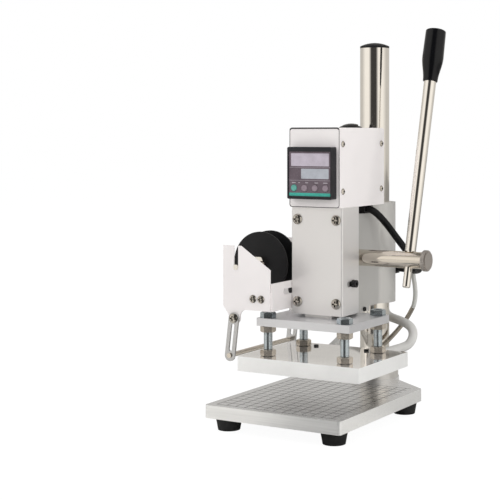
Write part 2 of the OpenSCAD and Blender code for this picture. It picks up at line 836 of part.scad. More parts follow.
module head_body() {
    through = [head_z0 - bite, head_z1 + bite];
    color("#c9c8c6") difference() {
        union() {
            along_z([head_z0, head_z1]) head_outline();
            block([-neck_half, neck_half], [lug_y0, lug_y1], [head_z0 - lug_drop, head_z0 + lug_drop]);
        }
        rod_x([neck_half - lug_screw_in, neck_half + bite], lug_screw_y, lug_screw_z, lug_screw_d / 2);
        rod_z(0, column_y, through, collar_bore_r);
        block([-ram_half - slide_play, ram_half + slide_play],
            [head_y0 - bite, ram_y1 + slide_play], through);
        block([0, gib_x1], [gib_y - gib_w / 2 - set_play, gib_y + gib_w / 2 + set_play], through);
        block([-pocket_half, pocket_half], [ram_y0, rack_tip_y + free_play], through);
        block([-pocket_half, pocket_half], [ram_y0, shaft_y], [shaft_z - pocket_r, shaft_z + pocket_r]);
        rod_x([-pocket_half, pocket_half], shaft_y, shaft_z, pocket_r);
        rod_x([-head_half - bite, head_half + bite], shaft_y, shaft_z, bush_d / 2);
        rod_x([-anchor_half, anchor_half], spring_y, anchor_z, anchor_r);
        rod_x([0, head_half + bite], gib_y, head_z0 + gib_screw_up, gib_screw_d / 2);
        block([-neck_half - bite, neck_half + bite], [notch_y0, notch_y1], [notch_z, head_z1 + bite]);
        for (x = [-1, 1], z = cover_screw_zs)
            rod_y(x * cover_screw_x / 2, [head_y0 - bite, head_y0 + cover_screw_in + bite], z,
                cover_screw_d / 2);
        for (y = clamp_ys)
            rod_x([-head_half - bite, -head_half + clamp_in + bite], y, clamp_z, clamp_d / 2);
        for (share = clamp_screw_ends)
            rod_y(0, [column_y, column_y + collar_r + bite], head_z0 + head_h * share, clamp_screw_d / 2);
    }
}

module cover_outline() {
    e = cover_edge;
    polygon([
        [-cover_half + e, cover_y0], [cover_half - e, cover_y0], [cover_half, cover_y0 + e],
        [cover_half, cover_y1], [-cover_half, cover_y1], [-cover_half, cover_y0 + e]
    ]);
    for (x = [-cover_half + e, cover_half - e]) translate([x, cover_y0 + e]) circle(e);
}

module front_cover() {
    color("#dcdbd9") difference() {
        along_z([head_z0, head_z1]) cover_outline();
        block([-head_half, head_half], [head_y0, cover_y1 + bite], [head_z0 - bite, head_z1 + bite]);
        for (x = [-1, 1], z = cover_screw_zs)
            rod_y(x * cover_screw_x / 2, [cover_y0 - bite, head_y0 + bite], z, cover_screw_d / 2 + set_play);
        along_x([0, cover_half + bite])
            slot_2d([gib_y - gib_slot_front, gib_y], head_z0 + gib_screw_up, gib_slot_h);
        for (y = clamp_ys) rod_x([-cover_half - bite, 0], y, clamp_z, clamp_d / 2 + set_play);
    }
}

module cover_screws() {
    color("#b9b6ae") for (x = [-1, 1], z = cover_screw_zs)
        translate([x * cover_screw_x / 2, cover_y0, z]) rotate([90, 0, 0])
            cross_screw(cover_head_d, cover_head_h, cover_screw_d, cover_front_t + cover_screw_in);
}

module ram_gib() {
    color("#b58f4e") block([gib_x0, gib_x1], [gib_y - gib_w / 2, gib_y + gib_w / 2],
        [head_z0 + gib_end, anchor_z - anchor_r - gib_end]);
}

module head_set_screws() {
    color("#1d1d1d") {
        translate([cover_half, gib_y, head_z0 + gib_screw_up]) rotate([0, 90, 0])
            socket_screw(gib_head_d, gib_head_h, gib_screw_d, cover_half - gib_x1);
        translate([neck_half - lug_screw_in, lug_screw_y, lug_screw_z]) rotate([0, 90, 0])
            set_screw(lug_screw_d, lug_screw_in + lug_screw_out);
        for (share = clamp_screw_ends)
            translate([0, column_y + column_r + slide_play, head_z0 + head_h * share]) rotate([-90, 0, 0])
                set_screw(clamp_screw_d, collar_wall + set_screw_out);
    }
}

module shaft_bushes() {
    color("#b08d4a") for (x = [[-bush_x1, -pocket_half], [pocket_half, bush_x1]]) difference() {
        rod_x(x, shaft_y, shaft_z, bush_d / 2);
        rod_x([x[0] - bite, x[1] + bite], shaft_y, shaft_z, shaft_r + run_play);
    }
}

module spring_anchor_pin() {
    color("#8f9294") rod_x([-anchor_half, anchor_half], spring_y, anchor_z, anchor_r);
}

// The wire runs down the axis from the pin, winds, and comes back to the axis at the ram
module return_spring() {
    color("#9a9c9e") route_tube(spring_route, spring_wire / 2, spring_sides, [0, 0, -1], [0, 0, -1]);
}

// Control box

module box_outline() {
    r = box_edge;
    polygon([
        [-box_half, box_z0], [box_half, box_z0], [box_half, box_z1 - r], [box_half - r, box_z1],
        [-box_half + r, box_z1], [-box_half, box_z1 - r]
    ]);
    for (x = [-box_half + r, box_half - r]) translate([x, box_z1 - r]) circle(r);
}

module box_chassis() {
    inner = box_half - box_t;
    color("#d9d7d6") difference() {
        union() {
            block([-inner, inner], [panel_y, rear_y], [box_z0, box_z0 + box_t]);
            for (x = [[-inner, -inner + post_t], [inner - post_t, inner]],
                y = [[panel_y, panel_y + post_w], [rear_y - post_w, rear_y]])
                block(x, y, [box_z0, box_z1 - box_edge]);
        }
        rod_z(0, wire_hole_y, [box_z0 - bite, box_z0 + box_t + bite], wire_hole_r);
        for (y = box_screw_ys, z = box_screw_zs)
            rod_x([-box_half - bite, box_half + bite], y, z, box_screw_d / 2);
    }
}

module box_rear() {
    inner = box_half - box_t;
    color("#d9d7d6") difference() {
        block([-inner, inner], [rear_y, box_y1], [box_z0, box_z1 - box_edge]);
        along_y([rear_y - bite, box_y1 + bite]) translate([0, inlet_z])
            square([inlet_barrel_w + 2 * set_play, inlet_barrel_h + 2 * set_play], center = true);
    }
}

module box_cover() {
    inner = box_half - box_t;
    r = max(box_edge - box_t, 0.2);
    color("#e4e1df") difference() {
        along_y([panel_y, box_y1]) box_outline();
        block([-inner, inner], [panel_y - bite, box_y1 + bite], [box_z0 - bite, box_z1 - box_edge]);
        block([-inner + r, inner - r], [panel_y - bite, box_y1 + bite], [box_z0, box_z1 - box_t]);
        for (x = [-inner + r, inner - r]) rod_y(x, [panel_y - bite, box_y1 + bite], box_z1 - box_edge, r);
        rod_z(0, switch_y, [box_z1 - box_edge, box_z1 + bite], switch_barrel_r + set_play);
        for (y = box_screw_ys, z = box_screw_zs)
            rod_x([-box_half - bite, box_half + bite], y, z, box_screw_d / 2 + set_play);
    }
}

module box_screws() {
    color("#b9b6ae") for (s = [-1, 1], y = box_screw_ys, z = box_screw_zs)
        translate([s * box_half, y, z]) rotate([0, s * 90, 0])
            cross_screw(box_head_d, box_head_h, box_screw_d, box_screw_l);
}

module front_panel() {
    color("#e2dfdd") difference() {
        along_y([box_y0, panel_y]) translate([0, (box_z0 + box_z1) / 2]) round_plate(box_w, box_h, box_edge);
        along_y([box_y0 - bite, panel_y + bite]) translate([0, bezel_mid])
            square(controller_w + 2 * set_play, center = true);
    }
}

module controller_body() {
    color("#202020") along_y([box_y0, box_y0 + controller_l]) translate([0, bezel_mid])
        square(controller_w, center = true);
}

module button_holes(y) {
    for (x = button_xs) rod_y(x, y, button_z, button_d / 2 + free_play);
}

module controller_bezel() {
    color("#2a2c2f") difference() {
        along_y([bezel_y0, box_y0]) translate([0, bezel_mid]) round_plate(bezel_w, bezel_h, bezel_edge);
        block([-face_w / 2 - set_play, face_w / 2 + set_play], [bezel_y0 - bite, face_y1],
            [face_zs[0] - set_play, face_zs[1] + set_play]);
        button_holes([bezel_y0, button_y0 + button_l + button_travel + button_room]);
    }
}

module controller_face() {
    color("#16181b") difference() {
        block([-face_w / 2, face_w / 2], [face_y0, face_y1], face_zs);
        button_holes([face_y0 - bite, face_y1 + bite]);
    }
}

module button(i) {
    color(i == 0 ? "#2f8f86" : "#b9bcc0") {
        rod_y(button_xs[i], [button_y0 + button_soft, button_y0 + button_l], button_z, button_d / 2);
        translate([button_xs[i], button_y0 + button_soft, button_z]) rotate([90, 0, 0])
            cylinder(h = button_soft, d1 = button_d, d2 = button_d - 1);
    }
}

module button_1() { button(0); }
module button_2() { button(1); }
module button_3() { button(2); }
module button_4() { button(3); }

// A round solid whose top is part of the switch's dome
module switch_top(r, z0, lift) {
    intersection() {
        cylinder(h = 2 * switch_d, r = r);
        translate([0, 0, switch_dome + lift - switch_dome_r - z0]) sphere(switch_dome_r);
    }
}

module switch_body() {
    color("#191919") difference() {
        union() {
            translate([0, switch_y, box_z1]) switch_top(switch_d / 2, 0, 0);
            rod_z(0, switch_y, [box_z1 - switch_depth, box_z1 + switch_lip], switch_barrel_r);
        }
        rod_z(0, switch_y, [box_z1 - switch_depth + switch_floor, box_z1 + switch_d], switch_well_r);
        rod_x([-switch_barrel_r - bite, switch_barrel_r + bite], switch_y, rocker_axis_z,
            rocker_pin_r + run_play);
    }
}

module power_rocker() {
    color("#101010") translate([0, switch_y, rocker_axis_z]) rotate([rocker_tilt, 0, 0]) {
        translate([0, 0, -rocker_low])
            switch_top(rocker_r, rocker_axis_z - box_z1 - rocker_low, switch_lip);
        rod_x([-switch_well_r - rocker_pin_in, switch_well_r + rocker_pin_in], 0, 0, rocker_pin_r);
    }
}

module power_inlet() {
    color("#1a1a1a") difference() {
        union() {
            along_y([box_y1, box_y1 + inlet_flange_t]) translate([0, inlet_z])
                round_plate(inlet_w, inlet_h, 2);
            along_y([box_y1 - inlet_depth, box_y1]) translate([0, inlet_z])
                square([inlet_barrel_w, inlet_barrel_h], center = true);
        }
        difference() {
            along_y([box_y1 + inlet_flange_t - inlet_well, box_y1 + inlet_flange_t + bite])
                translate([0, inlet_z])
                square([inlet_barrel_w - 2 * inlet_wall, inlet_barrel_h - 2 * inlet_wall], center = true);
            for (x = inlet_pin_xs)
                block([x - 1, x + 1], [box_y1 - inlet_depth, box_y1 - 3], [inlet_z - 2, inlet_z + 2]);
        }
    }
}

// Leads

module cable_grommet() {
    color("#1d1d1d") block([neck_half - 6, grommet_x1],
        [wire_hole_y - grommet_l / 2, wire_hole_y + grommet_l / 2], [notch_z, head_z1]);
}

module lead_clip() {
    color("#1f1f1f") difference() {
        block(clip_x, [column_y, clip_y1], clip_z);
        rod_z(0, column_y, [clip_z[0] - bite, clip_z[1] + bite], collar_r);
    }
}

module harness_sleeve() {
    color("#141414") route_tube(harness_route, harness_d / 2, harness_sides, [1, 0, 0], [-1, 0, 0]);
}

module sensor_lead() {
    color("#a9a8a4") route_tube(sensor_route, sensor_d / 2, sensor_sides, [0, 0, -1], [0, -1, 0]);
}

module heater_lead_right() {
    color("#e6e4df") route_tube(right_route, sleeve_d / 2, harness_sides, [0, 0, -1], [0, -1, 0]);
}

module heater_lead_left() {
    color("#e6e4df") route_tube(left_route, sleeve_d / 2, harness_sides, [0, 0, -1], [0, -1, 0]);
}

// Foil bracket

function arc(centre, r, from, to, steps) =
    [for (i = [0:steps]) centre + polar(r, from + (to - from) * i / steps)];

// One outline: a lobe for the guide's pivot below, and an open slot for the axle on top
module bracket_outline() {
    polygon(concat(
        [[reel_x - axle_slot_r, bracket_z1], [bracket_x0, bracket_z1]],
        [[bracket_x0, bracket_z0 + bracket_corner], [pivot_x - lobe_corner[0], pivot_z + lobe_corner[1]]],
        arc([pivot_x, pivot_z], pivot_lobe, 180, 360, lobe_steps),
        arc([pivot_x + pivot_lobe + lobe_fillet, bracket_z0 - lobe_fillet], lobe_fillet,
            180, 90, fillet_steps),
        [[bracket_x1, bracket_z0], [bracket_x1, slope_z1]],
        [[slope_x0, bracket_z1], [reel_x + axle_slot_r, bracket_z1]],
        arc([reel_x, reel_z], axle_slot_r, 0, -180, lobe_steps)
    ));
}

module bracket_plate(y) {
    through = [y[0] - bite, y[1] + bite];
    difference() {
        along_y(y) bracket_outline();
        rod_y(pivot_x, through, pivot_z, pivot_r);
        for (x = bracket_screw_xs) rod_y(x, through, bracket_screw_z, bracket_screw_d / 2 + set_play);
    }
}

module bracket_front_plate() {
    color("#e6e2e1") bracket_plate([bracket_y0, bracket_y0 + sheet_t]);
}

module bracket_rear_plate() {
    color("#e6e2e1") bracket_plate([bracket_y1 - sheet_t, bracket_y1]);
}

module bracket_side_plate() {
    fronts = [bracket_y0 + sheet_t, bracket_y1 - 2 * sheet_t];
    color("#e6e2e1") difference() {
        union() {
            block([side_x - sheet_t, side_x], [fronts[0], fronts[1] + sheet_t],
                [bracket_z0, bracket_z0 + side_plate_h]);
            for (y = fronts)
                block([flange_x, side_x], [y, y + sheet_t], [bracket_z0, bracket_z0 + flange_h]);
        }
        along_x([side_x - sheet_t - bite, side_x + bite]) slot_2d(clamp_slot_ys, clamp_z, clamp_slot_h);
        for (x = bracket_screw_xs, y = fronts)
            rod_y(x, [y - bite, y + sheet_t + bite], bracket_screw_z, bracket_screw_d / 2);
    }
}

// The plates' screws, and the shouldered screws on which the guide arms swing
module bracket_screws() {
    pivot_l = sheet_t + arm_t + 2 * free_play;
    color("#b9b6ae") {
        for (x = bracket_screw_xs) {
            translate([x, bracket_y0, bracket_screw_z]) rotate([90, 0, 0])
                cross_screw(bracket_head_d, bracket_head_h, bracket_screw_d, 2 * sheet_t);
            translate([x, bracket_y1, bracket_screw_z]) rotate([-90, 0, 0])
                cross_screw(bracket_head_d, bracket_head_h, bracket_screw_d, 2 * sheet_t);
        }
        translate([pivot_x, arm_front_y - free_play, pivot_z]) rotate([90, 0, 0])
            cross_screw(2 * pivot_head_r, pivot_head_h, 2 * pivot_r, pivot_l);
        translate([pivot_x, arm_rear_y + arm_t + free_play, pivot_z]) rotate([-90, 0, 0])
            cross_screw(2 * pivot_head_r, pivot_head_h, 2 * pivot_r, pivot_l);
    }
}

module bracket_clamp_screws() {
    color("#1d1d1d") for (y = clamp_ys) translate([side_x - sheet_t, y, clamp_z]) rotate([0, -90, 0])
        socket_screw(clamp_head_d, clamp_head_h, clamp_d, sheet_t + cover_side_t + clamp_in);
}

// Ram and plates

// Half the thickness of a rack tooth at a height above its pitch line
function rack_half(up) = (gear_pitch - backlash / 2) / 4 - up * tan(pressure);

module rack_teeth() {
    for (i = [-rack_low:rack_high]) {
        z = shaft_z + i * gear_pitch;
        root = rack_half(-1.25 * gear_module);
        tip = rack_half(gear_module);
        polygon([
            [ram_y1 - bite, z - root], [rack_root_y, z - root], [rack_tip_y, z - tip],
            [rack_tip_y, z + tip], [rack_root_y, z + root], [ram_y1 - bite, z + root]
        ]);
    }
}

module ram_rack() {
    color("#c8c6c1") difference() {
        union() {
            block([-ram_half, ram_half], [ram_y0, ram_y1], [ram_z0, ram_z1]);
            along_x([-gear_w / 2, gear_w / 2]) rack_teeth();
        }
        rod_z(0, spring_y, [spring_z0, ram_z1 + bite], spring_bore_r);
        for (s = [-1, 1], y = ram_screw_ys)
            rod_z(s * ram_screw_x, y, [ram_z0 - bite, ram_z0 + ram_screw_l - upper_t + bite],
                ram_screw_d / 2);
    }
}

module upper_plate() {
    sink = ram_screw_d / 2;
    color("#d5d5d4") difference() {
        block([-upper_w / 2, upper_w / 2], [-upper_d / 2, upper_d / 2], [upper_z0, upper_z1]);
        for (x = bolt_xs, y = bolt_ys)
            rod_z(x, y, [upper_z0 - bite, upper_z1 + bite], bolt_d / 2 + set_play);
        for (s = [-1, 1], y = ram_screw_ys) {
            rod_z(s * ram_screw_x, y, [upper_z0 - bite, upper_z1 + bite], ram_screw_d / 2 + set_play);
            translate([s * ram_screw_x, y, upper_z0])
                cylinder(h = sink, d1 = 2 * ram_screw_d, d2 = ram_screw_d);
        }
    }
}

module upper_plate_screws() {
    sink = ram_screw_d / 2;
    color("#1d1d1d") for (s = [-1, 1], y = ram_screw_ys)
        translate([s * ram_screw_x, y, upper_z0]) difference() {
            union() {
                cylinder(h = sink, d1 = 2 * ram_screw_d, d2 = ram_screw_d);
                cylinder(h = ram_screw_l, d = ram_screw_d);
            }
            translate([0, 0, -bite]) linear_extrude(bite + sink) hexagon(ram_screw_d * 0.6);
        }
}

// A hexagon of the bolts, with flats towards the machine's sides
module bolt_hexagon() {
    rotate(30) hexagon(bolt_af);
}

// The blank of a bolt head or a nut, its corners turned off on top and, for a nut, below as well
module turned_hexagon(h, below) {
    corner = bolt_af / sqrt(3) * 1.01;
    crown = bolt_af / 2 * 0.96;
    low = below ? bolt_turned : 0;
    intersection() {
        linear_extrude(h) bolt_hexagon();
        union() {
            if (below) cylinder(h = low, r1 = crown, r2 = corner);
            translate([0, 0, low]) cylinder(h = h - low - bolt_turned, r = corner);
            translate([0, 0, h - bolt_turned]) cylinder(h = bolt_turned, r1 = corner, r2 = crown);
        }
    }
}

module adjusting_bolts() {
    color("#c9cdd2") for (x = bolt_xs, y = bolt_ys) {
        rod_z(x, y, [heater_z1 - bolt_in, upper_z1], bolt_d / 2);
        translate([x, y, upper_z1]) difference() {
            turned_hexagon(bolt_head_h, false);
            translate([0, 0, bolt_head_h - bolt_dish]) cylinder(h = bolt_dish + bite, d = bolt_dish_d);
        }
    }
}

module bolt_nuts() {
    color("#b7ae9c") for (x = bolt_xs, y = bolt_ys, z = [heater_z1, upper_z0 - nut_h])
        translate([x, y, z]) difference() {
            turned_hexagon(nut_h, true);
            translate([0, 0, -bite]) cylinder(h = nut_h + 2 * bite, d = bolt_d);
        }
}

module heater_plate() {
    color("#cfcfce") difference() {
        block([-heater_w / 2, heater_w / 2], [-heater_d / 2, heater_d / 2], [heater_z0, heater_z1]);
        for (x = bolt_xs, y = bolt_ys)
            rod_z(x, y, [heater_z1 - bolt_in - bite, heater_z1 + bite], bolt_d / 2);
        for (x = cartridge_xs) {
            rod_y(x, [cartridge_y1 - cartridge_l - bite, heater_d / 2 + bite], heater_mid,
                cartridge_d / 2 + slide_play);
            rod_z(x, heater_set_y, [heater_mid, heater_z1 + bite], heater_set_d / 2);
        }
        rod_y(probe_x, [heater_d / 2 - probe_in - bite, heater_d / 2 + bite], heater_mid,
            probe_d / 2 + slide_play);
    }
}

module cartridge_heaters() {
    color("#a9a59b") for (x = cartridge_xs)
        rod_y(x, [cartridge_y1 - cartridge_l, cartridge_y1], heater_mid, cartridge_d / 2);
}

module heater_set_screws() {
    seat = heater_mid + cartridge_d / 2 + slide_play;
    color("#1d1d1d") for (x = cartridge_xs) translate([x, heater_set_y, seat])
        set_screw(heater_set_d, heater_z1 + heater_set_out - seat);
}

module temperature_probe() {
    collar = 4;
    color("#b7b5b0") {
        rod_y(probe_x, [heater_d / 2 - probe_in, probe_y1], heater_mid, probe_d / 2);
        along_y([heater_d / 2, heater_d / 2 + collar]) translate([probe_x, heater_mid])
            hexagon(probe_d * 1.6);
    }
}

// Lever and drive

function involute(a) = tan(a) - a * PI / 180;
// Half the angle of a pinion tooth at a radius, in degrees
function tooth_half(r) = (90 / gear_teeth) - backlash / 4 / pitch_r * 180 / PI
    + (involute(pressure) - involute(acos(gear_base_r / r))) * 180 / PI;
function polar(r, a) = [r * cos(a), r * sin(a)];
function tooth_points(mid) = concat(
    [polar(gear_root_r, mid - tooth_half(gear_base_r))],
    [for (r = flank_radii) polar(r, mid - tooth_half(r))],
    [for (i = [flank_steps:-1:0]) polar(flank_radii[i], mid + tooth_half(flank_radii[i]))],
    [polar(gear_root_r, mid + tooth_half(gear_base_r))]
);

// A space of the pinion faces the rack's tooth at the shaft's height
module pinion() {
    step = 360 / gear_teeth;
    color("#8d8f90") translate([0, shaft_y, shaft_z]) difference() {
        along_x([-gear_w / 2, gear_w / 2])
            polygon([for (i = [0:gear_teeth - 1]) each tooth_points(180 + (i + 0.5) * step)]);
        rod_x([-gear_w / 2 - bite, gear_w / 2 + bite], 0, 0, shaft_r);
    }
}

// The lever's own axis stands on the shaft's axis, leaning back
module on_lever() {
    translate([lever_x, shaft_y, shaft_z]) rotate([-lever_lean, 0, 0]) children();
}

module drive_shaft() {
    color("#cfcac2") difference() {
        rod_x([-shaft_left, shaft_reach], shaft_y, shaft_z, shaft_r);
        on_lever() cylinder(h = 2 * shaft_d, r = spigot_r, center = true);
    }
}

module lever_rod() {
    soft = 0.8;
    color("#d2cdc5") on_lever() {
        translate([0, 0, shaft_r]) cylinder(h = grip_from - shaft_r, d1 = lever_low_d, d2 = lever_d);
        translate([0, 0, grip_from]) cylinder(h = grip_depth, r = lever_r);
        translate([0, 0, soft - lever_tail]) cylinder(h = lever_tail + shaft_r - soft, r = spigot_r);
        translate([0, 0, -lever_tail]) cylinder(h = soft, r1 = spigot_r - soft, r2 = spigot_r);
    }
}

// The grip swells from its lower end and has a flat top
module lever_grip() {
    color("#121212") on_lever() translate([0, 0, grip_from]) difference() {
        rotate_extrude() polygon(grip_profile);
        translate([0, 0, -bite]) cylinder(h = grip_depth + bite, r = lever_r);
    }
}

module shaft_end_cap() {
    step = 1;
    ridge = 0.35;
    outer = end_cap_d / 2;
    color("#c9c3ba") {
        along_x([shaft_reach, shaft_reach + end_cap_t - step]) translate([shaft_y, shaft_z])
            polygon([for (i = [0:2 * end_cap_ridges - 1])
                polar(outer - (i % 2) * ridge, 180 * i / end_cap_ridges)]);
        rod_x([shaft_reach + step, shaft_reach + end_cap_t], shaft_y, shaft_z, outer - ridge - step);
    }
}

// Foil reel and guide

module reel_axle() {
    color("#c4bfb6") rod_y(reel_x, [bracket_y0 - axle_over, bracket_y1 + axle_over], reel_z, axle_r);
}

module reel_discs() {
    color("#121212") for (y = [reel_y0, reel_y1 - reel_disc_t]) difference() {
        rod_y(reel_x, [y, y + reel_disc_t], reel_z, reel_d / 2);
        rod_y(reel_x, [y - bite, y + reel_disc_t + bite], reel_z, axle_r);
    }
}

module reel_core() {
    y = [reel_y0 + reel_disc_t, reel_y1 - reel_disc_t];
    color("#1a1a1a") difference() {
        rod_y(reel_x, y, reel_z, reel_core_d / 2);
        rod_y(reel_x, [y[0] - bite, y[1] + bite], reel_z, axle_r);
    }
}

module reel_hub_nuts() {
    color("#b7ae9c") for (y = [reel_y0 - hub_h, reel_y1]) difference() {
        along_y([y, y + hub_h]) translate([reel_x, reel_z]) hexagon(hub_af);
        rod_y(reel_x, [y - bite, y + hub_h + bite], reel_z, axle_r);
    }
}

// An arm hangs from its pivot along its own lean
module arm_outline() {
    translate([pivot_x, pivot_z]) rotate(-arm_lean) difference() {
        union() {
            circle(arm_w / 2);
            translate([0, -arm_l]) circle(arm_w / 2);
            translate([-arm_w / 2, -arm_l]) square([arm_w, arm_l]);
        }
        circle(pivot_r + run_play);
        translate([0, -arm_l]) circle(guide_d / 2);
        for (d = arm_slot) translate([0, -d]) circle(arm_slot_w / 2);
        translate([-arm_slot_w / 2, -arm_slot[1]]) square([arm_slot_w, arm_slot[1] - arm_slot[0]]);
    }
}

module guide_arms() {
    color("#c9cbcd") for (y = [arm_front_y, arm_rear_y]) along_y([y, y + arm_t]) arm_outline();
}

module guide_rod() {
    color("#cfd0d0") rod_y(guide_x, [arm_front_y - guide_over, arm_rear_y + arm_t + guide_over], guide_z,
        guide_d / 2);
}

base_plate();
rubber_feet();
base_screws();
column();
column_foot_ring();
column_cap();
head_body();
front_cover();
cover_screws();
ram_gib();
head_set_screws();
shaft_bushes();
spring_anchor_pin();
return_spring();
box_chassis();
box_rear();
box_cover();
box_screws();
front_panel();
controller_body();
controller_bezel();
controller_face();
switch_body();
power_inlet();
cable_grommet();
lead_clip();
harness_sleeve();
sensor_lead();
heater_lead_right();
heater_lead_left();
bracket_side_plate();
bracket_front_plate();
bracket_rear_plate();
bracket_screws();
bracket_clamp_screws();
ram_rack();
upper_plate();
upper_plate_screws();
adjusting_bolts();
bolt_nuts();
heater_plate();
cartridge_heaters();
heater_set_screws();
temperature_probe();
drive_shaft();
pinion();
lever_rod();
lever_grip();
shaft_end_cap();
reel_axle();
reel_discs();
reel_core();
reel_hub_nuts();
guide_arms();
guide_rod();
button_1();
button_2();
button_3();
button_4();
power_rocker();
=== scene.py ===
import bmesh
import bpy
import json
import math
from mathutils import Matrix, Vector


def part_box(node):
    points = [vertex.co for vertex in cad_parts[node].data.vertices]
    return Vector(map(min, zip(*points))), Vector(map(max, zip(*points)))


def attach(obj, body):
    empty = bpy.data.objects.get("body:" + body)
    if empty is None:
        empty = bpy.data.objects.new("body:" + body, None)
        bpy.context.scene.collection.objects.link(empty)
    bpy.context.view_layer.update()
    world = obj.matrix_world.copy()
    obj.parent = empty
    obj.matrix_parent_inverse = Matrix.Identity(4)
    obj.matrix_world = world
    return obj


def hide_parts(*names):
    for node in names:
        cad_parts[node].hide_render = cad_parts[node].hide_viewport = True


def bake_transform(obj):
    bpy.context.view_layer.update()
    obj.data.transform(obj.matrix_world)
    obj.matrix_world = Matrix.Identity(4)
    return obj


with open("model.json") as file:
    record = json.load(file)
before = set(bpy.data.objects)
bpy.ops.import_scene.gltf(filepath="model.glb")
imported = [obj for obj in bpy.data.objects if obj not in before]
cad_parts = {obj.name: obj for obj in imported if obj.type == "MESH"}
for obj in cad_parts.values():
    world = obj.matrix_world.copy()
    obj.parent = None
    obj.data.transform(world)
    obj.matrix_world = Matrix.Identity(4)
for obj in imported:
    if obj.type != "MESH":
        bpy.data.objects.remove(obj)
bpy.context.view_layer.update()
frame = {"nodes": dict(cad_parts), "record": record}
nodes = frame["nodes"]
mm = 0.001
scene = bpy.context.scene
scene.view_settings.view_transform = "Standard"
print("frame loaded:", len(nodes), "nodes")

# camera, fitted to the straight edges of the photograph
camera = {"place": (0.5957, -1.0396, 0.2476), "turn": 29.4, "lens": 90.35, "sensor": 36,
          "shift": (-0.165, -0.2312), "farEnd": 50}


def setCamera(spec):
    data = bpy.data.cameras.new("camera")
    data.lens = spec["lens"]
    data.sensor_width = spec["sensor"]
    data.shift_x, data.shift_y = spec["shift"]
    data.clip_end = spec["farEnd"]
    eye = bpy.data.objects.new("camera", data)
    eye.location = spec["place"]
    eye.rotation_euler = (math.radians(90), 0, math.radians(spec["turn"]))
    scene.collection.objects.link(eye)
    scene.camera = eye


setCamera(camera)
print("camera set")


# small helpers for node trees; noise mostly lies within the band, and level faces pass the share
noiseBand = (0.3, 0.7)
levelShare = 0.9


def newFinish(name):
    finish = bpy.data.materials.new(name)
    finish.use_nodes = True
    tree = finish.node_tree
    shader = next(n for n in tree.nodes if n.type == "BSDF_PRINCIPLED")
    return finish, tree, shader


def addNode(tree, kind, values=None, **settings):
    node = tree.nodes.new(kind)
    for key, value in settings.items():
        setattr(node, key, value)
    for key, value in (values or {}).items():
        node.inputs[key].default_value = value
    return node


def link(tree, source, target):
    tree.links.new(source, target)


def objectSpace(tree, scale=(1, 1, 1)):
    coords = addNode(tree, "ShaderNodeTexCoord")
    mapping = addNode(tree, "ShaderNodeMapping", {"Scale": scale})
    link(tree, coords.outputs["Object"], mapping.inputs["Vector"])
    return mapping.outputs["Vector"]


def noiseFrom(tree, vector, scale, detail=3.0, rough=0.55):
    noise = addNode(tree, "ShaderNodeTexNoise", {"Scale": scale, "Detail": detail, "Roughness": rough})
    link(tree, vector, noise.inputs["Vector"])
    return noise.outputs["Fac"]


def spread(tree, value, low, high, fromLow=noiseBand[0], fromHigh=noiseBand[1]):
    node = addNode(tree, "ShaderNodeMapRange", {1: fromLow, 2: fromHigh, 3: low, 4: high})
    link(tree, value, node.inputs[0])
    return node.outputs[0]


def twoTone(tree, value, dark, light):
    ramp = addNode(tree, "ShaderNodeValToRGB")
    for mark, at, tone in zip(ramp.color_ramp.elements, noiseBand, (dark, light)):
        mark.position = at
        mark.color = (*tone, 1)
    link(tree, value, ramp.inputs["Fac"])
    return ramp.outputs["Color"]


def mixColor(tree, factor, first, second):
    node = addNode(tree, "ShaderNodeMix", data_type="RGBA")
    link(tree, factor, node.inputs[0])
    for socket, value in ((node.inputs[6], first), (node.inputs[7], second)):
        if isinstance(value, tuple):
            socket.default_value = (*value, 1)
        else:
            link(tree, value, socket)
    return node.outputs[2]


def mixFloat(tree, factor, first, second):
    node = addNode(tree, "ShaderNodeMix", data_type="FLOAT")
    link(tree, factor, node.inputs[0])
    for socket, value in ((node.inputs[2], first), (node.inputs[3], second)):
        if isinstance(value, float):
            socket.default_value = value
        else:
            link(tree, value, socket)
    return node.outputs[0]


def math2(tree, operation, first, second=None):
    node = addNode(tree, "ShaderNodeMath", operation=operation)
    for socket, value in zip(node.inputs, (first, second)):
        if value is None:
            continue
        if isinstance(value, (int, float)):
            socket.default_value = value
        else:
            link(tree, value, socket)
    return node.outputs[0]


def bumpInto(tree, shader, height, distance):
    bump = addNode(tree, "ShaderNodeBump", {"Strength": 1.0, "Distance": distance})
    link(tree, height, bump.inputs["Height"])
    link(tree, bump.outputs["Normal"], shader.inputs["Normal"])


def shade(tone, by):
    return tuple(max(0.0, min(1.0, c * by)) for c in tone)


# finishes: each dictionary holds what one would change

def metalFinish(name, spec):
    finish, tree, shader = newFinish(name)
    shader.inputs["Metallic"].default_value = spec.get("metallic", 1.0)
    streaks = noiseFrom(tree, objectSpace(tree, spec["brush"]), 1.0, 4.0)
    cloud = noiseFrom(tree, objectSpace(tree), 30, 3.0)
    dark, light = (shade(spec["tone"], 1 + way * spec["vary"]) for way in (-1, 1))
    tone = twoTone(tree, streaks, dark, light)
    cloudy = twoTone(tree, cloud, shade(spec["tone"], 0.93), spec["tone"])
    half = spread(tree, cloud, 0.25, 0.75)
    surface = mixColor(tree, half, tone, cloudy)
    # painted shade: where ambient occlusion finds surfaces close by, the colour is mixed towards a dark tone,
    # darkening recesses and crevices
    if "recessShadeReach" in spec:
        hollow = addNode(tree, "ShaderNodeAmbientOcclusion", {"Distance": spec["recessShadeReach"] * mm}, samples=8)
        surface = mixColor(tree, spread(tree, hollow.outputs["AO"], 0, 1, 0.35, 0.85), spec["recessShade"], surface)
    link(tree, surface, shader.inputs["Base Color"])
    low, high = spec["rough"]
    link(tree, spread(tree, streaks, low, high), shader.inputs["Roughness"])
    bumpInto(tree, shader, streaks, spec.get("depth", 0.02) * mm)
    return finish


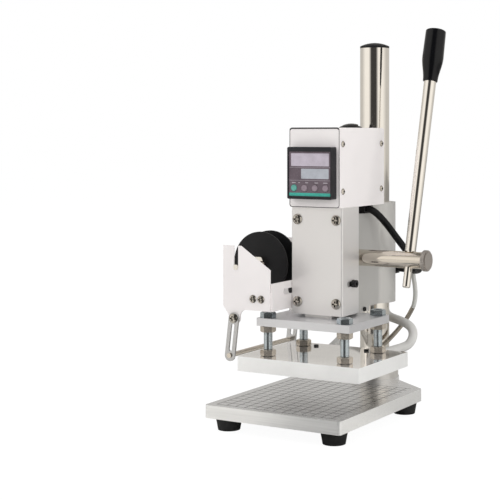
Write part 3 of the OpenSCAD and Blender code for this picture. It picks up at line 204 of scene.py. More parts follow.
def paintFinish(name, spec):
    finish, tree, shader = newFinish(name)
    peel = noiseFrom(tree, objectSpace(tree), spec["peel"], 2.0)
    cloud = noiseFrom(tree, objectSpace(tree), 14, 4.0)
    link(tree, twoTone(tree, cloud, shade(spec["tone"], 0.965), shade(spec["tone"], 1.02)),
         shader.inputs["Base Color"])
    low, high = spec["rough"]
    link(tree, spread(tree, cloud, low, high), shader.inputs["Roughness"])
    shader.inputs["Specular IOR Level"].default_value = 0.45
    shader.inputs["Metallic"].default_value = spec.get("metallic", 0.0)
    bumpInto(tree, shader, peel, spec["depth"] * mm)
    return finish


def plasticFinish(name, spec):
    finish, tree, shader = newFinish(name)
    grain = noiseFrom(tree, objectSpace(tree), spec["grain"], 3.0)
    cloud = noiseFrom(tree, objectSpace(tree), 40, 3.0)
    link(tree, twoTone(tree, cloud, shade(spec["tone"], 0.8), shade(spec["tone"], 1.25)),
         shader.inputs["Base Color"])
    low, high = spec["rough"]
    link(tree, spread(tree, grain, low, high), shader.inputs["Roughness"])
    shader.inputs["Specular IOR Level"].default_value = spec.get("shine", 0.5)
    if spec.get("coat"):
        shader.inputs["Coat Weight"].default_value = spec["coat"]
        shader.inputs["Coat Roughness"].default_value = 0.08
    bumpInto(tree, shader, grain, spec["depth"] * mm)
    return finish


def facing(tree, axis):
    geometry = addNode(tree, "ShaderNodeNewGeometry")
    parts = addNode(tree, "ShaderNodeSeparateXYZ")
    link(tree, geometry.outputs["True Normal"], parts.inputs[0])
    return parts.outputs[axis]


# printed grid on the bed: cell and line in mm, limits of the printed field
bed = {"cell": 10.0, "line": 1.05, "half": 62.0, "front": -88.0, "rear": 62.0, "ink": (0.05, 0.05, 0.06),
       "sideTones": ((0.82, 0.82, 0.81), (0.94, 0.94, 0.93)), "sideRough": (0.34, 0.46), "sideMetal": 0.65,
       "faceTones": ((0.74, 0.75, 0.77), (0.84, 0.85, 0.87)), "faceRough": (0.20, 0.30),
       "brush": (12, 700, 700), "depth": 0.01}


def bedFinish(name, spec):
    finish, tree, shader = newFinish(name)
    place = addNode(tree, "ShaderNodeSeparateXYZ")
    link(tree, objectSpace(tree, (1000, 1000, 1000)), place.inputs[0])
    lines = []
    for axis, offset in ((0, spec["half"]), (1, -spec["front"])):
        along = math2(tree, "ADD", place.outputs[axis], offset + spec["cell"] / 2)
        wave = math2(tree, "PINGPONG", along, spec["cell"] / 2)
        lines.append(math2(tree, "GREATER_THAN", wave, (spec["cell"] - spec["line"]) / 2))
    drawn = math2(tree, "MAXIMUM", lines[0], lines[1])
    inX = math2(tree, "LESS_THAN", math2(tree, "ABSOLUTE", place.outputs[0]), spec["half"] + spec["line"] / 2)
    middle = (spec["front"] + spec["rear"]) / 2
    reach = (spec["rear"] - spec["front"] + spec["line"]) / 2
    fromMiddle = math2(tree, "ABSOLUTE", math2(tree, "SUBTRACT", place.outputs[1], middle))
    inY = math2(tree, "LESS_THAN", fromMiddle, reach)
    top = math2(tree, "GREATER_THAN", facing(tree, 2), levelShare)
    ink = math2(tree, "MULTIPLY", math2(tree, "MULTIPLY", drawn, top), math2(tree, "MULTIPLY", inX, inY))
    streaks = noiseFrom(tree, objectSpace(tree, spec["brush"]), 1.0, 4.0)
    side = twoTone(tree, streaks, *spec["sideTones"])
    bare = mixColor(tree, top, side, twoTone(tree, streaks, *spec["faceTones"]))
    link(tree, spread(tree, top, spec["sideMetal"], 1, 0, 1), shader.inputs["Metallic"])
    link(tree, mixColor(tree, ink, bare, spec["ink"]), shader.inputs["Base Color"])
    brushed = spread(tree, streaks, *spec["sideRough"])
    smooth = spread(tree, streaks, *spec["faceRough"])
    link(tree, mixFloat(tree, top, brushed, smooth), shader.inputs["Roughness"])
    bumpInto(tree, shader, streaks, spec["depth"] * mm)
    return finish


# a plate with a lapped top and milled sides
lapped = {"tone": (0.94, 0.92, 0.90), "top": (0.03, 0.09), "topMetal": 0.82,
          "sideTone": (0.95, 0.95, 0.94), "side": (0.34, 0.46), "sideMetal": 0.4,
          "brush": (40, 40, 900), "depth": 0.006}


def lappedFinish(name, spec):
    finish, tree, shader = newFinish(name)
    streaks = noiseFrom(tree, objectSpace(tree, spec["brush"]), 1.0, 4.0)
    cloud = noiseFrom(tree, objectSpace(tree), 25, 4.0)
    flat = math2(tree, "GREATER_THAN", math2(tree, "ABSOLUTE", facing(tree, 2)), levelShare)
    link(tree, spread(tree, flat, spec["sideMetal"], spec["topMetal"], 0, 1), shader.inputs["Metallic"])
    tones = [twoTone(tree, cloud, shade(t, 0.94), shade(t, 1.04)) for t in (spec["sideTone"], spec["tone"])]
    link(tree, mixColor(tree, flat, *tones), shader.inputs["Base Color"])
    milled, mirror = spread(tree, streaks, *spec["side"]), spread(tree, cloud, *spec["top"])
    link(tree, mixFloat(tree, flat, milled, mirror), shader.inputs["Roughness"])
    bumpInto(tree, shader, streaks, spec["depth"] * mm)
    return finish


# woven sleeves read the tube's own map: across its girth and along its length
def sleeveFinish(name, spec):
    finish, tree, shader = newFinish(name)
    coords = addNode(tree, "ShaderNodeUVMap", uv_map="lead")
    parts = addNode(tree, "ShaderNodeSeparateXYZ")
    link(tree, coords.outputs["UV"], parts.inputs[0])
    around = math2(tree, "MULTIPLY", parts.outputs[0], spec["strands"])
    along = math2(tree, "MULTIPLY", parts.outputs[1], spec["perMetre"])
    waves = []
    for way in ("ADD", "SUBTRACT"):
        phase = math2(tree, "MULTIPLY", math2(tree, way, along, around), 2 * math.pi)
        waves.append(math2(tree, "SINE", phase))
    weave = math2(tree, "MULTIPLY", waves[0], waves[1])
    lift = spread(tree, weave, 0.0, 1.0, -0.9, 0.9)
    cloud = noiseFrom(tree, objectSpace(tree), 90, 3.0)
    worn = twoTone(tree, cloud, shade(spec["tone"], 0.90), shade(spec["tone"], 1.03))
    # painted shade: the weave's low places take the darker gap tone, so the hollows between strands look
    # shaded
    link(tree, mixColor(tree, lift, shade(spec["tone"], spec["gap"]), worn), shader.inputs["Base Color"])
    shader.inputs["Specular IOR Level"].default_value = spec.get("shine", 0.5)
    link(tree, spread(tree, cloud, *spec["rough"]), shader.inputs["Roughness"])
    bumpInto(tree, shader, lift, spec["depth"] * mm)
    return finish


# the sensor's lead: a smooth grey sleeve for its first length in mm, then a metal tube
def probeLeadFinish(name, spec):
    finish, tree, shader = newFinish(name)
    coords = addNode(tree, "ShaderNodeUVMap", uv_map="lead")
    parts = addNode(tree, "ShaderNodeSeparateXYZ")
    link(tree, coords.outputs["UV"], parts.inputs[0])
    tube = math2(tree, "GREATER_THAN", parts.outputs[1], spec["sleeveEnd"] * mm)
    cloud = noiseFrom(tree, objectSpace(tree), 120, 3.0)
    grey = twoTone(tree, cloud, shade(spec["sleeve"], 0.94), shade(spec["sleeve"], 1.04))
    steel = twoTone(tree, cloud, shade(spec["tube"], 0.85), shade(spec["tube"], 1.1))
    link(tree, mixColor(tree, tube, grey, steel), shader.inputs["Base Color"])
    link(tree, tube, shader.inputs["Metallic"])
    rough = mixFloat(tree, tube, spec["sleeveRough"], spread(tree, cloud, *spec["tubeRough"]))
    link(tree, rough, shader.inputs["Roughness"])
    turns = math2(tree, "MULTIPLY", parts.outputs[1], 2 * math.pi * spec["grooves"])
    grooves = math2(tree, "MULTIPLY", math2(tree, "SINE", turns), tube)
    bumpInto(tree, shader, grooves, spec["depth"] * mm)
    return finish


finishes = {
    "plate_aluminium": metalFinish("milledAluminium", {
        "tone": (0.80, 0.80, 0.79), "vary": 0.05, "brush": (30, 700, 700), "rough": (0.26, 0.38)}),
    "body_aluminium": metalFinish("anodisedBody", {
        "tone": (0.62, 0.61, 0.59), "vary": 0.03, "brush": (250, 250, 60), "rough": (0.42, 0.52),
        "metallic": 0.55}),
    "cover_paint": paintFinish("coverPaint", {
        "tone": (0.90, 0.88, 0.87), "rough": (0.38, 0.46), "peel": 1500, "depth": 0.012, "metallic": 0.7}),
    "white_paint": paintFinish("whitePaint", {
        "tone": (0.86, 0.82, 0.81), "rough": (0.34, 0.44), "peel": 1300, "depth": 0.012}),
    "bright_steel": metalFinish("polishedNickel", {
        "tone": (0.95, 0.91, 0.85), "vary": 0.03, "brush": (60, 60, 60), "rough": (0.06, 0.12),
        "depth": 0.0008}),
    "plain_steel": metalFinish("turnedSteel", {
        "tone": (0.62, 0.61, 0.60), "vary": 0.06, "brush": (900, 900, 60), "rough": (0.28, 0.42)}),
    "zinc": metalFinish("zincPlate", {
        "tone": (0.70, 0.77, 0.82), "vary": 0.06, "brush": (200, 200, 200), "rough": (0.16, 0.28)}),
    "black_steel": metalFinish("blackOxide", {
        "tone": (0.030, 0.030, 0.032), "vary": 0.2, "brush": (300, 300, 300), "rough": (0.35, 0.5),
        "metallic": 0.6}),
    "bronze": metalFinish("bearingBronze", {
        "tone": (0.62, 0.45, 0.20), "vary": 0.08, "brush": (600, 600, 60), "rough": (0.3, 0.42)}),
    "black_plastic": plasticFinish("blackMoulding", {
        "tone": (0.010, 0.010, 0.011), "rough": (0.40, 0.52), "grain": 2200, "depth": 0.02, "shine": 0.25}),
    "gloss_black": plasticFinish("glossGrip", {
        "tone": (0.004, 0.004, 0.005), "rough": (0.12, 0.2), "grain": 300, "depth": 0.004, "coat": 0.15,
        "shine": 0.2}),
    "button_grey": plasticFinish("mauveButton", {
        "tone": (0.24, 0.19, 0.22), "rough": (0.35, 0.45), "grain": 1800, "depth": 0.01}),
    "button_teal": plasticFinish("tealButton", {
        "tone": (0.10, 0.33, 0.28), "rough": (0.35, 0.45), "grain": 1800, "depth": 0.01}),
    "display": plasticFinish("smokedFace", {
        "tone": (0.13, 0.10, 0.118), "rough": (0.2, 0.3), "grain": 900, "depth": 0.004, "shine": 0.3}),
    "rubber": plasticFinish("footRubber", {
        "tone": (0.017, 0.017, 0.017), "rough": (0.55, 0.7), "grain": 1500, "depth": 0.03, "shine": 0.25}),
    "harness": sleeveFinish("harnessSleeve", {
        "tone": (0.006, 0.006, 0.007), "gap": 0.7, "strands": 10, "perMetre": 330, "rough": (0.30, 0.42),
        "depth": 0.05, "shine": 0.2}),
    "glass_sleeve": sleeveFinish("glassSleeve", {
        "tone": (0.70, 0.69, 0.665), "gap": 0.88, "strands": 14, "perMetre": 420, "rough": (0.6, 0.75),
        "depth": 0.06}),
    "sensor_braid": probeLeadFinish("sensorLead", {
        "sleeve": (0.56, 0.56, 0.53), "sleeveRough": 0.45, "sleeveEnd": 39,
        "tube": (0.46, 0.42, 0.36), "tubeRough": (0.18, 0.30), "grooves": 700, "depth": 0.03}),
}
# screw heads: painted shade darkens their cross recesses and the crevices round them
screwNickel = metalFinish("screwNickel", {
    "tone": (0.66, 0.62, 0.56), "vary": 0.04, "brush": (200, 200, 200), "rough": (0.10, 0.18), "depth": 0.001,
    "recessShadeReach": 1.6, "recessShade": (0.035, 0.030, 0.026)})
# warm nickel for nuts and guide rod, with painted shade darkening its crevices
agedNickelRecessShade = metalFinish("agedNickelRecessShade", {
    "tone": (0.78, 0.71, 0.62), "vary": 0.06, "brush": (200, 200, 200), "rough": (0.14, 0.24), "depth": 0.002,
    "recessShadeReach": 1.3, "recessShade": (0.18, 0.15, 0.12), "metallic": 0.8})
special = {
    "cover_screws": screwNickel,
    "box_screws": screwNickel,
    "bracket_screws": screwNickel,
    "bolt_nuts": agedNickelRecessShade,
    "guide_rod": agedNickelRecessShade,
    "guide_arms": metalFinish("armSteel", {
        "tone": (0.62, 0.62, 0.63), "vary": 0.05, "brush": (300, 300, 40), "rough": (0.20, 0.30),
        "depth": 0.003}),
    "shaft_end_cap": metalFinish("knurledCap", {
        "tone": (0.60, 0.56, 0.53), "vary": 0.08, "brush": (900, 900, 900), "rough": (0.40, 0.52),
        "depth": 0.02}),
    # zinc bolts: painted shade darkens the recess in their heads and the crevices round them
    "adjusting_bolts": metalFinish("zincBolts", {
        "tone": (0.68, 0.76, 0.81), "vary": 0.08, "brush": (200, 200, 200), "rough": (0.16, 0.28),
        "recessShadeReach": 2.5, "recessShade": (0.05, 0.055, 0.06)}),
    "upper_plate": metalFinish("groundPlate", {
        "tone": (0.78, 0.78, 0.80), "vary": 0.05, "brush": (30, 700, 700), "rough": (0.28, 0.40),
        "metallic": 0.75}),
    "base_plate": bedFinish("griddedBed", bed),
    "heater_plate": lappedFinish("lappedPlate", lapped),
    "controller_bezel": plasticFinish("slateBezel", {
        "tone": (0.018, 0.018, 0.021), "rough": (0.36, 0.46), "grain": 2000, "depth": 0.015, "shine": 0.25}),
    "drive_shaft": metalFinish("shaftNickel", {
        "tone": (0.76, 0.70, 0.62), "vary": 0.03, "brush": (60, 60, 60), "rough": (0.07, 0.13),
        "depth": 0.0008}),
    "column_foot_ring": metalFinish("ringSteel", {
        "tone": (0.80, 0.78, 0.75), "vary": 0.06, "brush": (900, 900, 60), "rough": (0.28, 0.42),
        "metallic": 0.75}),
}


def dress(piece, finish):
    piece.data.materials.clear()
    piece.data.materials.append(finish)


slotOf = {part["node"]: part["material_slot"] for part in frame["record"]["subparts"]}
for name, node in nodes.items():
    dress(node, special.get(name) or finishes[slotOf[name]])
print("finishes on", len(nodes), "nodes")


# leads: routes in mm, as in the part's source; spans between their points are cut in steps
spanSteps = 5
leads = {
    "harness": {
        "node": "harness_sleeve", "slot": "harness", "diameter": 7.0, "sides": 20, "stiffness": "medium",
        "ends": ((1, 0, 0), (-1, 0, 0)),
        "route": [
            (15, 60, 174), (19, 61.5, 173), (22.5, 66, 169.5), (26, 72, 163.5), (31, 76.5, 155.5),
            (36, 80.5, 147), (41, 86, 137.5), (44.5, 93, 129), (47, 101, 121), (47.5, 109, 114.5),
            (45.5, 116, 110.5), (40.5, 122, 108.5), (33.5, 127.5, 107.5), (26.5, 131.5, 107.5),
            (20, 133, 108), (12, 133, 108.5)]},
    "sensorLead": {
        "node": "sensor_lead", "slot": "sensor_braid", "diameter": 4.6, "sides": 16, "stiffness": "stiff",
        "ends": ((0, 0, -1), (0, -1, 0)), "blend": ((33.5, 127.5, 101), (14, 62, 31)),
        "route": [
            (33.5, 127.5, 107.5), (33.5, 127.5, 103), (35, 128, 93), (35.5, 128.5, 82.5), (33.5, 129.5, 72.5),
            (30, 130.5, 66), (25, 130, 57.5), (20.5, 125, 49.5), (20.5, 108, 43), (19, 91.5, 36.5),
            (16.5, 76, 32.5), (14, 66.5, 31), (14, 60, 31)]},
    "heaterLeadRight": {
        "node": "heater_lead_right", "slot": "glass_sleeve", "diameter": 9.0, "sides": 24,
        "stiffness": "stiff", "ends": ((0, 0, -1), (0, -1, 0)), "blend": ((-4, 133, 94), (28, 60, 31)),
        "route": [
            (-4, 133, 103), (-4, 133.5, 89), (-4, 134, 76), (-3, 133.5, 66.5), (1.5, 131, 60),
            (8, 127.5, 57.5), (15.5, 122.5, 57), (25.5, 115, 56.5), (35.5, 107.5, 55.5),
            (42.5, 103, 53), (46.5, 99.5, 49.5), (48, 96.5, 45), (47.5, 93, 40.5),
            (45.5, 89, 37), (41.5, 84, 35), (37, 77.5, 33.5), (32, 69, 32), (28, 61.5, 31), (28, 56, 31)]},
    "heaterLeadLeft": {
        "node": "heater_lead_left", "slot": "glass_sleeve", "diameter": 9.0, "sides": 24,
        "stiffness": "stiff", "ends": ((0, 0, -1), (0, -1, 0)), "blend": ((-15, 133, 94), (-28, 60, 31)),
        "route": [
            (-15, 133, 103), (-15, 133, 90), (-15.5, 132.5, 78), (-17.5, 130.5, 67), (-21, 126.5, 58.5),
            (-24, 120, 52.5), (-25.5, 111.5, 49), (-25.5, 100.5, 46), (-25.5, 89.5, 42), (-26.5, 78.5, 37.5),
            (-27.5, 69, 33.5), (-28, 61.5, 31), (-28, 56, 31)]},
}


def smoothRoute(points, perSpan):
    points = [Vector(p) * mm for p in points]
    padded = [2 * points[0] - points[1], *points, 2 * points[-1] - points[-2]]
    path = []
    for i in range(1, len(padded) - 2):
        a, b, c, d = padded[i - 1:i + 3]
        for step in range(perSpan):
            t = step / perSpan
            path.append(0.5 * (2 * b + (c - a) * t + (2 * a - 5 * b + 4 * c - d) * t ** 2
                               + (3 * b - a - 3 * c + d) * t ** 3))
    path.append(points[-1])
    return path


def meshPiece(name, mesh):
    piece = bpy.data.objects.new(name, mesh)
    scene.collection.objects.link(piece)
    return piece


def tubePiece(name, path, radius, sides, ends):
    shape = bmesh.new()
    map2d = shape.loops.layers.uv.new("lead")
    last = len(path) - 1
    heading = [Vector(ends[0]).normalized()]
    heading += [(path[i + 1] - path[i - 1]).normalized() for i in range(1, last)]
    heading.append(Vector(ends[1]).normalized())
    side = heading[0].orthogonal().normalized()
    rings, run, travelled = [], [], 0.0
    for i, point in enumerate(path):
        side = (side - heading[i] * side.dot(heading[i])).normalized()
        other = heading[i].cross(side)
        travelled += (point - path[i - 1]).length if i else 0.0
        run.append(travelled)
        angles = [2 * math.pi * k / sides for k in range(sides)]
        girth = [radius * (math.cos(a) * side + math.sin(a) * other) for a in angles]
        rings.append([shape.verts.new(point + out) for out in girth])
    for i in range(last):
        for k in range(sides):
            n = (k + 1) % sides
            face = shape.faces.new((rings[i][k], rings[i][n], rings[i + 1][n], rings[i + 1][k]))
            face.smooth = True
            spots = ((k, i), (k + 1, i), (k + 1, i + 1), (k, i + 1))
            for loop, (u, v) in zip(face.loops, spots):
                loop[map2d].uv = (u / sides, run[v])
    shape.faces.new(list(reversed(rings[0])))
    shape.faces.new(rings[-1])
    mesh = bpy.data.meshes.new(name)
    shape.to_mesh(mesh)
    shape.free()
    return meshPiece(name, mesh)


def layLead(name, spec):
    path = smoothRoute(spec["route"], spanSteps)
    piece = tubePiece(name, path, spec["diameter"] / 2 * mm, spec["sides"], spec["ends"])
    dress(piece, finishes[spec["slot"]])
    if "blend" in spec:
        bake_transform(piece)
    else:
        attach(piece, "head")
    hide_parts(spec["node"])


for name, spec in leads.items():
    layLead(name, spec)


# controller face: displays, rules, legends and a colour strip, in mm from the bezel's middle and lower edge
face = {
    "upperDisplay": {"x": (-20.3, 20.8), "z": (31.0, 43.0), "tone": (0.48, 0.43, 0.49)},
    "lowerDisplay": {"x": (-9.2, 20.6), "z": (19.2, 28.6), "tone": (0.42, 0.435, 0.475)},
    "colourStrip": {"x": (-22.4, 22.4), "z": (2.9, 5.9), "tone": (0.05, 0.36, 0.29)},
    "rules": (29.8, 17.6), "ruleHalf": 22.3, "ruleThin": 0.14, "ruleSoft": 0.05,
    "legendZ": 15.4, "legendHigh": 0.4, "legendSoft": 0.2, "displaySoft": 0.3, "lift": 0.1,
    "legends": ((-17.4, 2.2), (-11.4, 0.9), (-3.2, 1.6), (7.4, 2.0), (17.0, 2.4)),
    "ink": (0.40, 0.36, 0.39),
}


def thinPlate(name, x, z, y, thick, finish, soft):
    shape = bmesh.new()
    bmesh.ops.create_cube(shape, size=1.0)
    size = Vector((x[1] - x[0], thick, z[1] - z[0])) * mm
    middle = Vector(((x[0] + x[1]) / 2, y - thick / 2, (z[0] + z[1]) / 2)) * mm
    place = Matrix.Translation(middle) @ Matrix.Diagonal((*size, 1))
    bmesh.ops.transform(shape, matrix=place, verts=shape.verts)
    upright = [e for e in shape.edges if abs((e.verts[0].co - e.verts[1].co).y) > thick * mm / 2]
    bmesh.ops.bevel(shape, geom=upright, offset=soft * mm, segments=3, affect="EDGES")
    mesh = bpy.data.meshes.new(name)
    shape.to_mesh(mesh)
    shape.free()
    piece = meshPiece(name, mesh)
    dress(piece, finish)
    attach(piece, "head")


def dressController(spec):
    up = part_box("controller_bezel")[0][2] / mm
    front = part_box("controller_face")[0][1] / mm
    for name in ("upperDisplay", "lowerDisplay", "colourStrip"):
        part = spec[name]
        finish = plasticFinish(name + "Face", {
            "tone": part["tone"], "rough": (0.24, 0.34), "grain": 700, "depth": 0.004, "shine": 0.3})
        thinPlate(name, part["x"], [up + v for v in part["z"]], front, spec["lift"], finish,
                  spec["displaySoft"])
    pale = plasticFinish("paleInk", {"tone": spec["ink"], "rough": (0.4, 0.5), "grain": 900, "depth": 0.002})
    half, thin, low = spec["ruleHalf"], spec["ruleThin"], spec["lift"] / 2
    for i, rule in enumerate(spec["rules"]):
        z = up + rule
        thinPlate("rule%d" % i, (-half, half), (z - thin, z + thin), front, low, pale, spec["ruleSoft"])
    z, high = up + spec["legendZ"], spec["legendHigh"]
    for i, (x, reach) in enumerate(spec["legends"]):
        thinPlate("legend%d" % i, (x - reach, x + reach), (z - high, z + high), front, low, pale,
                  spec["legendSoft"])


dressController(face)
print("controller face done")


# threads on the levelling bolts, one Geometry Nodes tree for all four, starting above the lower nuts
threads = {"pitch": 1.25, "depth": 0.45, "radius": 4.0, "sunk": 0.12, "turns": 12, "steps": 24,
           "nutAcross": 13, "nutHigh": 6, "clear": 0.6}


def threadTree(finish):
    tree = bpy.data.node_groups.new("boltThread", "GeometryNodeTree")
    tree.interface.new_socket("Geometry", in_out="INPUT", socket_type="NodeSocketGeometry")
    for label in ("Radius", "Pitch", "Ridge", "Turns"):
        tree.interface.new_socket(label, in_out="INPUT", socket_type="NodeSocketFloat")
    tree.interface.new_socket("Steps", in_out="INPUT", socket_type="NodeSocketInt")
    tree.interface.new_socket("Geometry", in_out="OUTPUT", socket_type="NodeSocketGeometry")
    source = addNode(tree, "NodeGroupInput")
    target = addNode(tree, "NodeGroupOutput")
    spiral = addNode(tree, "GeometryNodeCurveSpiral")
    height = math2(tree, "MULTIPLY", source.outputs["Pitch"], source.outputs["Turns"])
    link(tree, source.outputs["Steps"], spiral.inputs["Resolution"])
    link(tree, source.outputs["Turns"], spiral.inputs["Rotations"])
    link(tree, source.outputs["Radius"], spiral.inputs["Start Radius"])
    link(tree, source.outputs["Radius"], spiral.inputs["End Radius"])
    link(tree, height, spiral.inputs["Height"])
    ridge = addNode(tree, "GeometryNodeCurvePrimitiveCircle", {"Resolution": 4})
    link(tree, source.outputs["Ridge"], ridge.inputs["Radius"])
    sweep = addNode(tree, "GeometryNodeCurveToMesh", {"Fill Caps": True})
    link(tree, spiral.outputs["Curve"], sweep.inputs["Curve"])
    link(tree, ridge.outputs["Curve"], sweep.inputs["Profile Curve"])
    spots = addNode(tree, "GeometryNodeInstanceOnPoints")
    link(tree, source.outputs["Geometry"], spots.inputs["Points"])
    link(tree, sweep.outputs["Mesh"], spots.inputs["Instance"])
    real = addNode(tree, "GeometryNodeRealizeInstances")
    link(tree, spots.outputs["Instances"], real.inputs["Geometry"])
    paint = addNode(tree, "GeometryNodeSetMaterial")
    paint.inputs["Material"].default_value = finish
    link(tree, real.outputs["Geometry"], paint.inputs["Geometry"])
    link(tree, paint.outputs["Geometry"], target.inputs["Geometry"])
    return tree


def bakeNodes(name, points, tree, values):
    seedMesh = bpy.data.meshes.new(name + "Spots")
    seedMesh.from_pydata(points, [], [])
    spots = meshPiece(name + "Spots", seedMesh)
    modifier = spots.modifiers.new(name, "NODES")
    modifier.node_group = tree
    for item in tree.interface.items_tree:
        if item.in_out == "INPUT" and item.name in values:
            modifier[item.identifier] = values[item.name]
    bpy.context.view_layer.update()
    mesh = bpy.data.meshes.new_from_object(spots.evaluated_get(bpy.context.evaluated_depsgraph_get()))
    bpy.data.objects.remove(spots)
    mesh.name = name
    return meshPiece(name, mesh)


def boltSpots(spec):
    low, high = (Vector(c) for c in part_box("bolt_nuts"))
    halfX = (high.x - low.x) / 2 - spec["nutAcross"] / 2 * mm
    halfY = (high.y - low.y) / 2 - spec["nutAcross"] / math.sqrt(3) * mm
    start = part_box("heater_plate")[1][2] + (spec["nutHigh"] + spec["clear"]) * mm
    return [(x, y, start) for x in (-halfX, halfX) for y in (-halfY, halfY)]


bolts = bakeNodes("boltThreads", boltSpots(threads), threadTree(finishes["zinc"]), {
    "Radius": (threads["radius"] - threads["sunk"]) * mm, "Pitch": threads["pitch"] * mm,
    "Ridge": threads["depth"] * mm, "Turns": float(threads["turns"]), "Steps": threads["steps"]})
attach(bolts, "ram")
print("bolt threads cut")


# dark seam round the front panel, heavy along the top between two angles of its corners; the fine line all
# round is the joint, the extra weight along the top is painted shade
seam = {"heavy": 0.65, "fine": 0.3, "heavyFrom": 30, "heavyTo": 150, "inset": 0.5, "corner": 2.5,
        "cornerSteps": 6, "sides": 8}


def panelSeam(spec):
    low, high = (Vector(c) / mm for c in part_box("front_panel"))
    corner, inset = spec["corner"], spec["inset"]
    right, left = high.x - inset - corner, low.x + inset + corner
    top, foot = high.z - inset - corner, low.z + inset + corner
    path, thick = [], []
    for x, z, start in ((right, top, 0), (left, top, 90), (left, foot, 180), (right, foot, 270)):
        for k in range(spec["cornerSteps"] + 1):
            turn = start + 90 / spec["cornerSteps"] * k
            a = math.radians(turn)
            path.append(Vector((x + corner * math.cos(a), low.y, z + corner * math.sin(a))) * mm)
            # the heavy span along the top is painted shade
            heavy = spec["heavyFrom"] <= turn <= spec["heavyTo"]
            thick.append(spec["heavy" if heavy else "fine"] * mm)
    shape = bmesh.new()
    rings = []
    sides = spec["sides"]
    for i, point in enumerate(path):
        ahead = (path[(i + 1) % len(path)] - path[i - 1]).normalized()
        out = Vector((0, -1, 0))
        across = ahead.cross(out)
        ring = []
        for k in range(sides):
            a = 2 * math.pi * k / sides
            ring.append(shape.verts.new(point + thick[i] * (math.cos(a) * out + math.sin(a) * across)))
        rings.append(ring)
    for i in range(len(rings)):
        for k in range(sides):
            a, b = rings[i], rings[(i + 1) % len(rings)]
            shape.faces.new((a[k], a[(k + 1) % sides], b[(k + 1) % sides], b[k])).smooth = True
    bmesh.ops.recalc_face_normals(shape, faces=shape.faces)
    mesh = bpy.data.meshes.new("panelSeam")
    shape.to_mesh(mesh)
    shape.free()
    piece = meshPiece("panelSeam", mesh)
    dress(piece, finishes["rubber"])
    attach(piece, "head")


panelSeam(seam)
print("panel seam done")


# floor, light and world
studio = {"floor": 6.0, "floorZ": -0.0243, "floorTones": ((0.88, 0.88, 0.88), (0.92, 0.92, 0.92)),
          "floorRough": 0.9, "sky": 0.52, "glow": 0.90, "glowLevel": 1.06, "aim": (0, 0.02, 0.14),
          # tone of the floor as seen in reflections, multiplied by the painted light and shade of the room's
          # boxes and gap
          "paintedRoomLight": (0.78, 0.76, 0.72),
          "key": {"place": (-0.7, -1.4, 1.3), "size": 2.1, "power": 14},
          "fill": {"place": (1.7, -0.4, 0.8), "size": 1.9, "power": 15},
          "top": {"place": (0.0, 0.1, 1.6), "size": 2.0, "power": 7}}
# what polished metal mirrors: two soft boxes with a dark gap between them
# boxes are middle and width in degrees, counted from the way that the gap faces
room = {
    "turn": 29.4, "boxes": ((-64, 32), (46, 36)), "edge": 18, "fade": 36,
    "light": 1.0, "gap": 0.05, "behind": 0.6,
    "upward": ((-1, 0.5), (-0.1, 0.9), (0.2, 1.0), (0.55, 0.95), (0.85, 0.35), (1, 0.25)),
    "tint": (1.0, 0.97, 0.92),
}


def roomStops(spec):
    (left, leftWide), (right, rightWide) = spec["boxes"]
    leftOuter, leftInner = left - leftWide / 2, left + leftWide / 2
    rightInner, rightOuter = right - rightWide / 2, right + rightWide / 2
    return (
        (-180, spec["behind"]), (leftOuter - spec["fade"], spec["behind"]),
        (leftOuter, spec["light"]), (leftInner, spec["light"]),
        (leftInner + spec["edge"], spec["gap"]), (rightInner - spec["edge"], spec["gap"]),
        (rightInner, spec["light"]), (rightOuter, spec["light"]),
        (rightOuter + spec["fade"], spec["behind"]), (180, spec["behind"]))


def levelRamp(tree, value, stops, low, high):
    ramp = addNode(tree, "ShaderNodeValToRGB")
    marks = ramp.color_ramp.elements
    while len(marks) < len(stops):
        marks.new(0.5)
    for mark, (at, level) in zip(marks, stops):
        mark.position = (at - low) / (high - low)
        mark.color = (level, level, level, 1)
    link(tree, spread(tree, value, 0, 1, low, high), ramp.inputs["Fac"])
    return ramp.outputs["Color"]


def roomBearing(tree, vector):
    bearing = math.radians(room["turn"])
    toward = (math.sin(bearing), -math.cos(bearing), 0)
    right = (math.cos(bearing), math.sin(bearing), 0)
    shares = []
    for axis in (right, toward):
        dot = addNode(tree, "ShaderNodeVectorMath", operation="DOT_PRODUCT")
        dot.inputs[1].default_value = axis
        link(tree, vector, dot.inputs[0])
        shares.append(dot.outputs["Value"])
    return math2(tree, "MULTIPLY", math2(tree, "ARCTAN2", *shares), 180 / math.pi)


def timesColor(tree, first, second):
    node = addNode(tree, "ShaderNodeMix", {0: 1.0}, data_type="RGBA", blend_type="MULTIPLY")
    link(tree, first, node.inputs[6])
    if isinstance(second, tuple):
        node.inputs[7].default_value = (*second, 1)
    else:
        link(tree, second, node.inputs[7])
    return node.outputs[2]


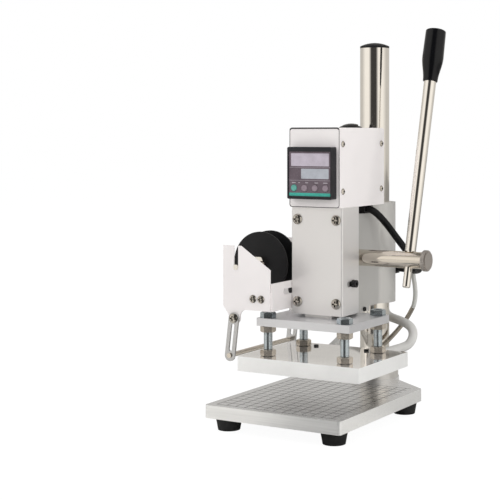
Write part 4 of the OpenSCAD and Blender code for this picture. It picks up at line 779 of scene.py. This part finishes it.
def layFloor(spec):
    shape = bmesh.new()
    bmesh.ops.create_grid(shape, x_segments=2, y_segments=2, size=spec["floor"])
    bmesh.ops.translate(shape, verts=shape.verts, vec=(0, 0, spec["floorZ"]))
    mesh = bpy.data.meshes.new("floor")
    shape.to_mesh(mesh)
    shape.free()
    floor = meshPiece("floor", mesh)
    finish, tree, shader = newFinish("floorWhite")
    cloud = noiseFrom(tree, objectSpace(tree), 3, 2.0)
    path = addNode(tree, "ShaderNodeLightPath")
    pale = twoTone(tree, cloud, *spec["floorTones"])
    turn = roomBearing(tree, objectSpace(tree))
    # in reflections the floor's colour is painted light and shade: the room's bright boxes and dark gap, laid
    # out by bearing round the middle
    paintedRoomLight = timesColor(tree, levelRamp(tree, turn, roomStops(room), -180, 180), spec["paintedRoomLight"])
    link(tree, mixColor(tree, path.outputs["Is Glossy Ray"], pale, paintedRoomLight), shader.inputs["Base Color"])
    shader.inputs["Roughness"].default_value = spec["floorRough"]
    glow = addNode(tree, "ShaderNodeEmission", {"Color": (1, 1, 1, 1), "Strength": spec["glowLevel"]})
    mix = addNode(tree, "ShaderNodeMixShader")
    link(tree, math2(tree, "MULTIPLY", path.outputs["Is Camera Ray"], spec["glow"]), mix.inputs[0])
    link(tree, shader.outputs[0], mix.inputs[1])
    link(tree, glow.outputs[0], mix.inputs[2])
    out = next(n for n in tree.nodes if n.type == "OUTPUT_MATERIAL")
    link(tree, mix.outputs[0], out.inputs["Surface"])
    dress(floor, finish)


def lightWorld(spec):
    world = bpy.data.worlds.new("studio")
    world.use_nodes = True
    scene.world = world
    tree = world.node_tree
    sky = next(n for n in tree.nodes if n.type == "BACKGROUND")
    coords = addNode(tree, "ShaderNodeTexCoord")
    turn = roomBearing(tree, coords.outputs["Generated"])
    parts = addNode(tree, "ShaderNodeSeparateXYZ")
    link(tree, coords.outputs["Generated"], parts.inputs[0])
    around = levelRamp(tree, turn, roomStops(room), -180, 180)
    upward = levelRamp(tree, parts.outputs[2], room["upward"], -1, 1)
    warm = timesColor(tree, timesColor(tree, around, upward), room["tint"])
    # soft even light for matt surfaces, the room for shiny ones, plain white for the camera
    path = addNode(tree, "ShaderNodeLightPath")
    even = (spec["sky"],) * 3
    lit = mixColor(tree, path.outputs["Is Glossy Ray"], even, warm)
    link(tree, mixColor(tree, path.outputs["Is Camera Ray"], lit, (1.0, 1.0, 1.0)), sky.inputs["Color"])


def hangLamp(name, spec):
    data = bpy.data.lights.new(name, "AREA")
    data.shape = "DISK"
    data.size = spec["size"]
    data.energy = spec["power"]
    lamp = bpy.data.objects.new(name, data)
    lamp.location = spec["place"]
    aim = Vector(studio["aim"]) - Vector(spec["place"])
    lamp.rotation_euler = aim.to_track_quat("-Z", "Y").to_euler()
    lamp.visible_glossy = False
    scene.collection.objects.link(lamp)


layFloor(studio)
lightWorld(studio)
for name in ("key", "fill", "top"):
    hangLamp(name + "Lamp", studio[name])
print("studio lit")
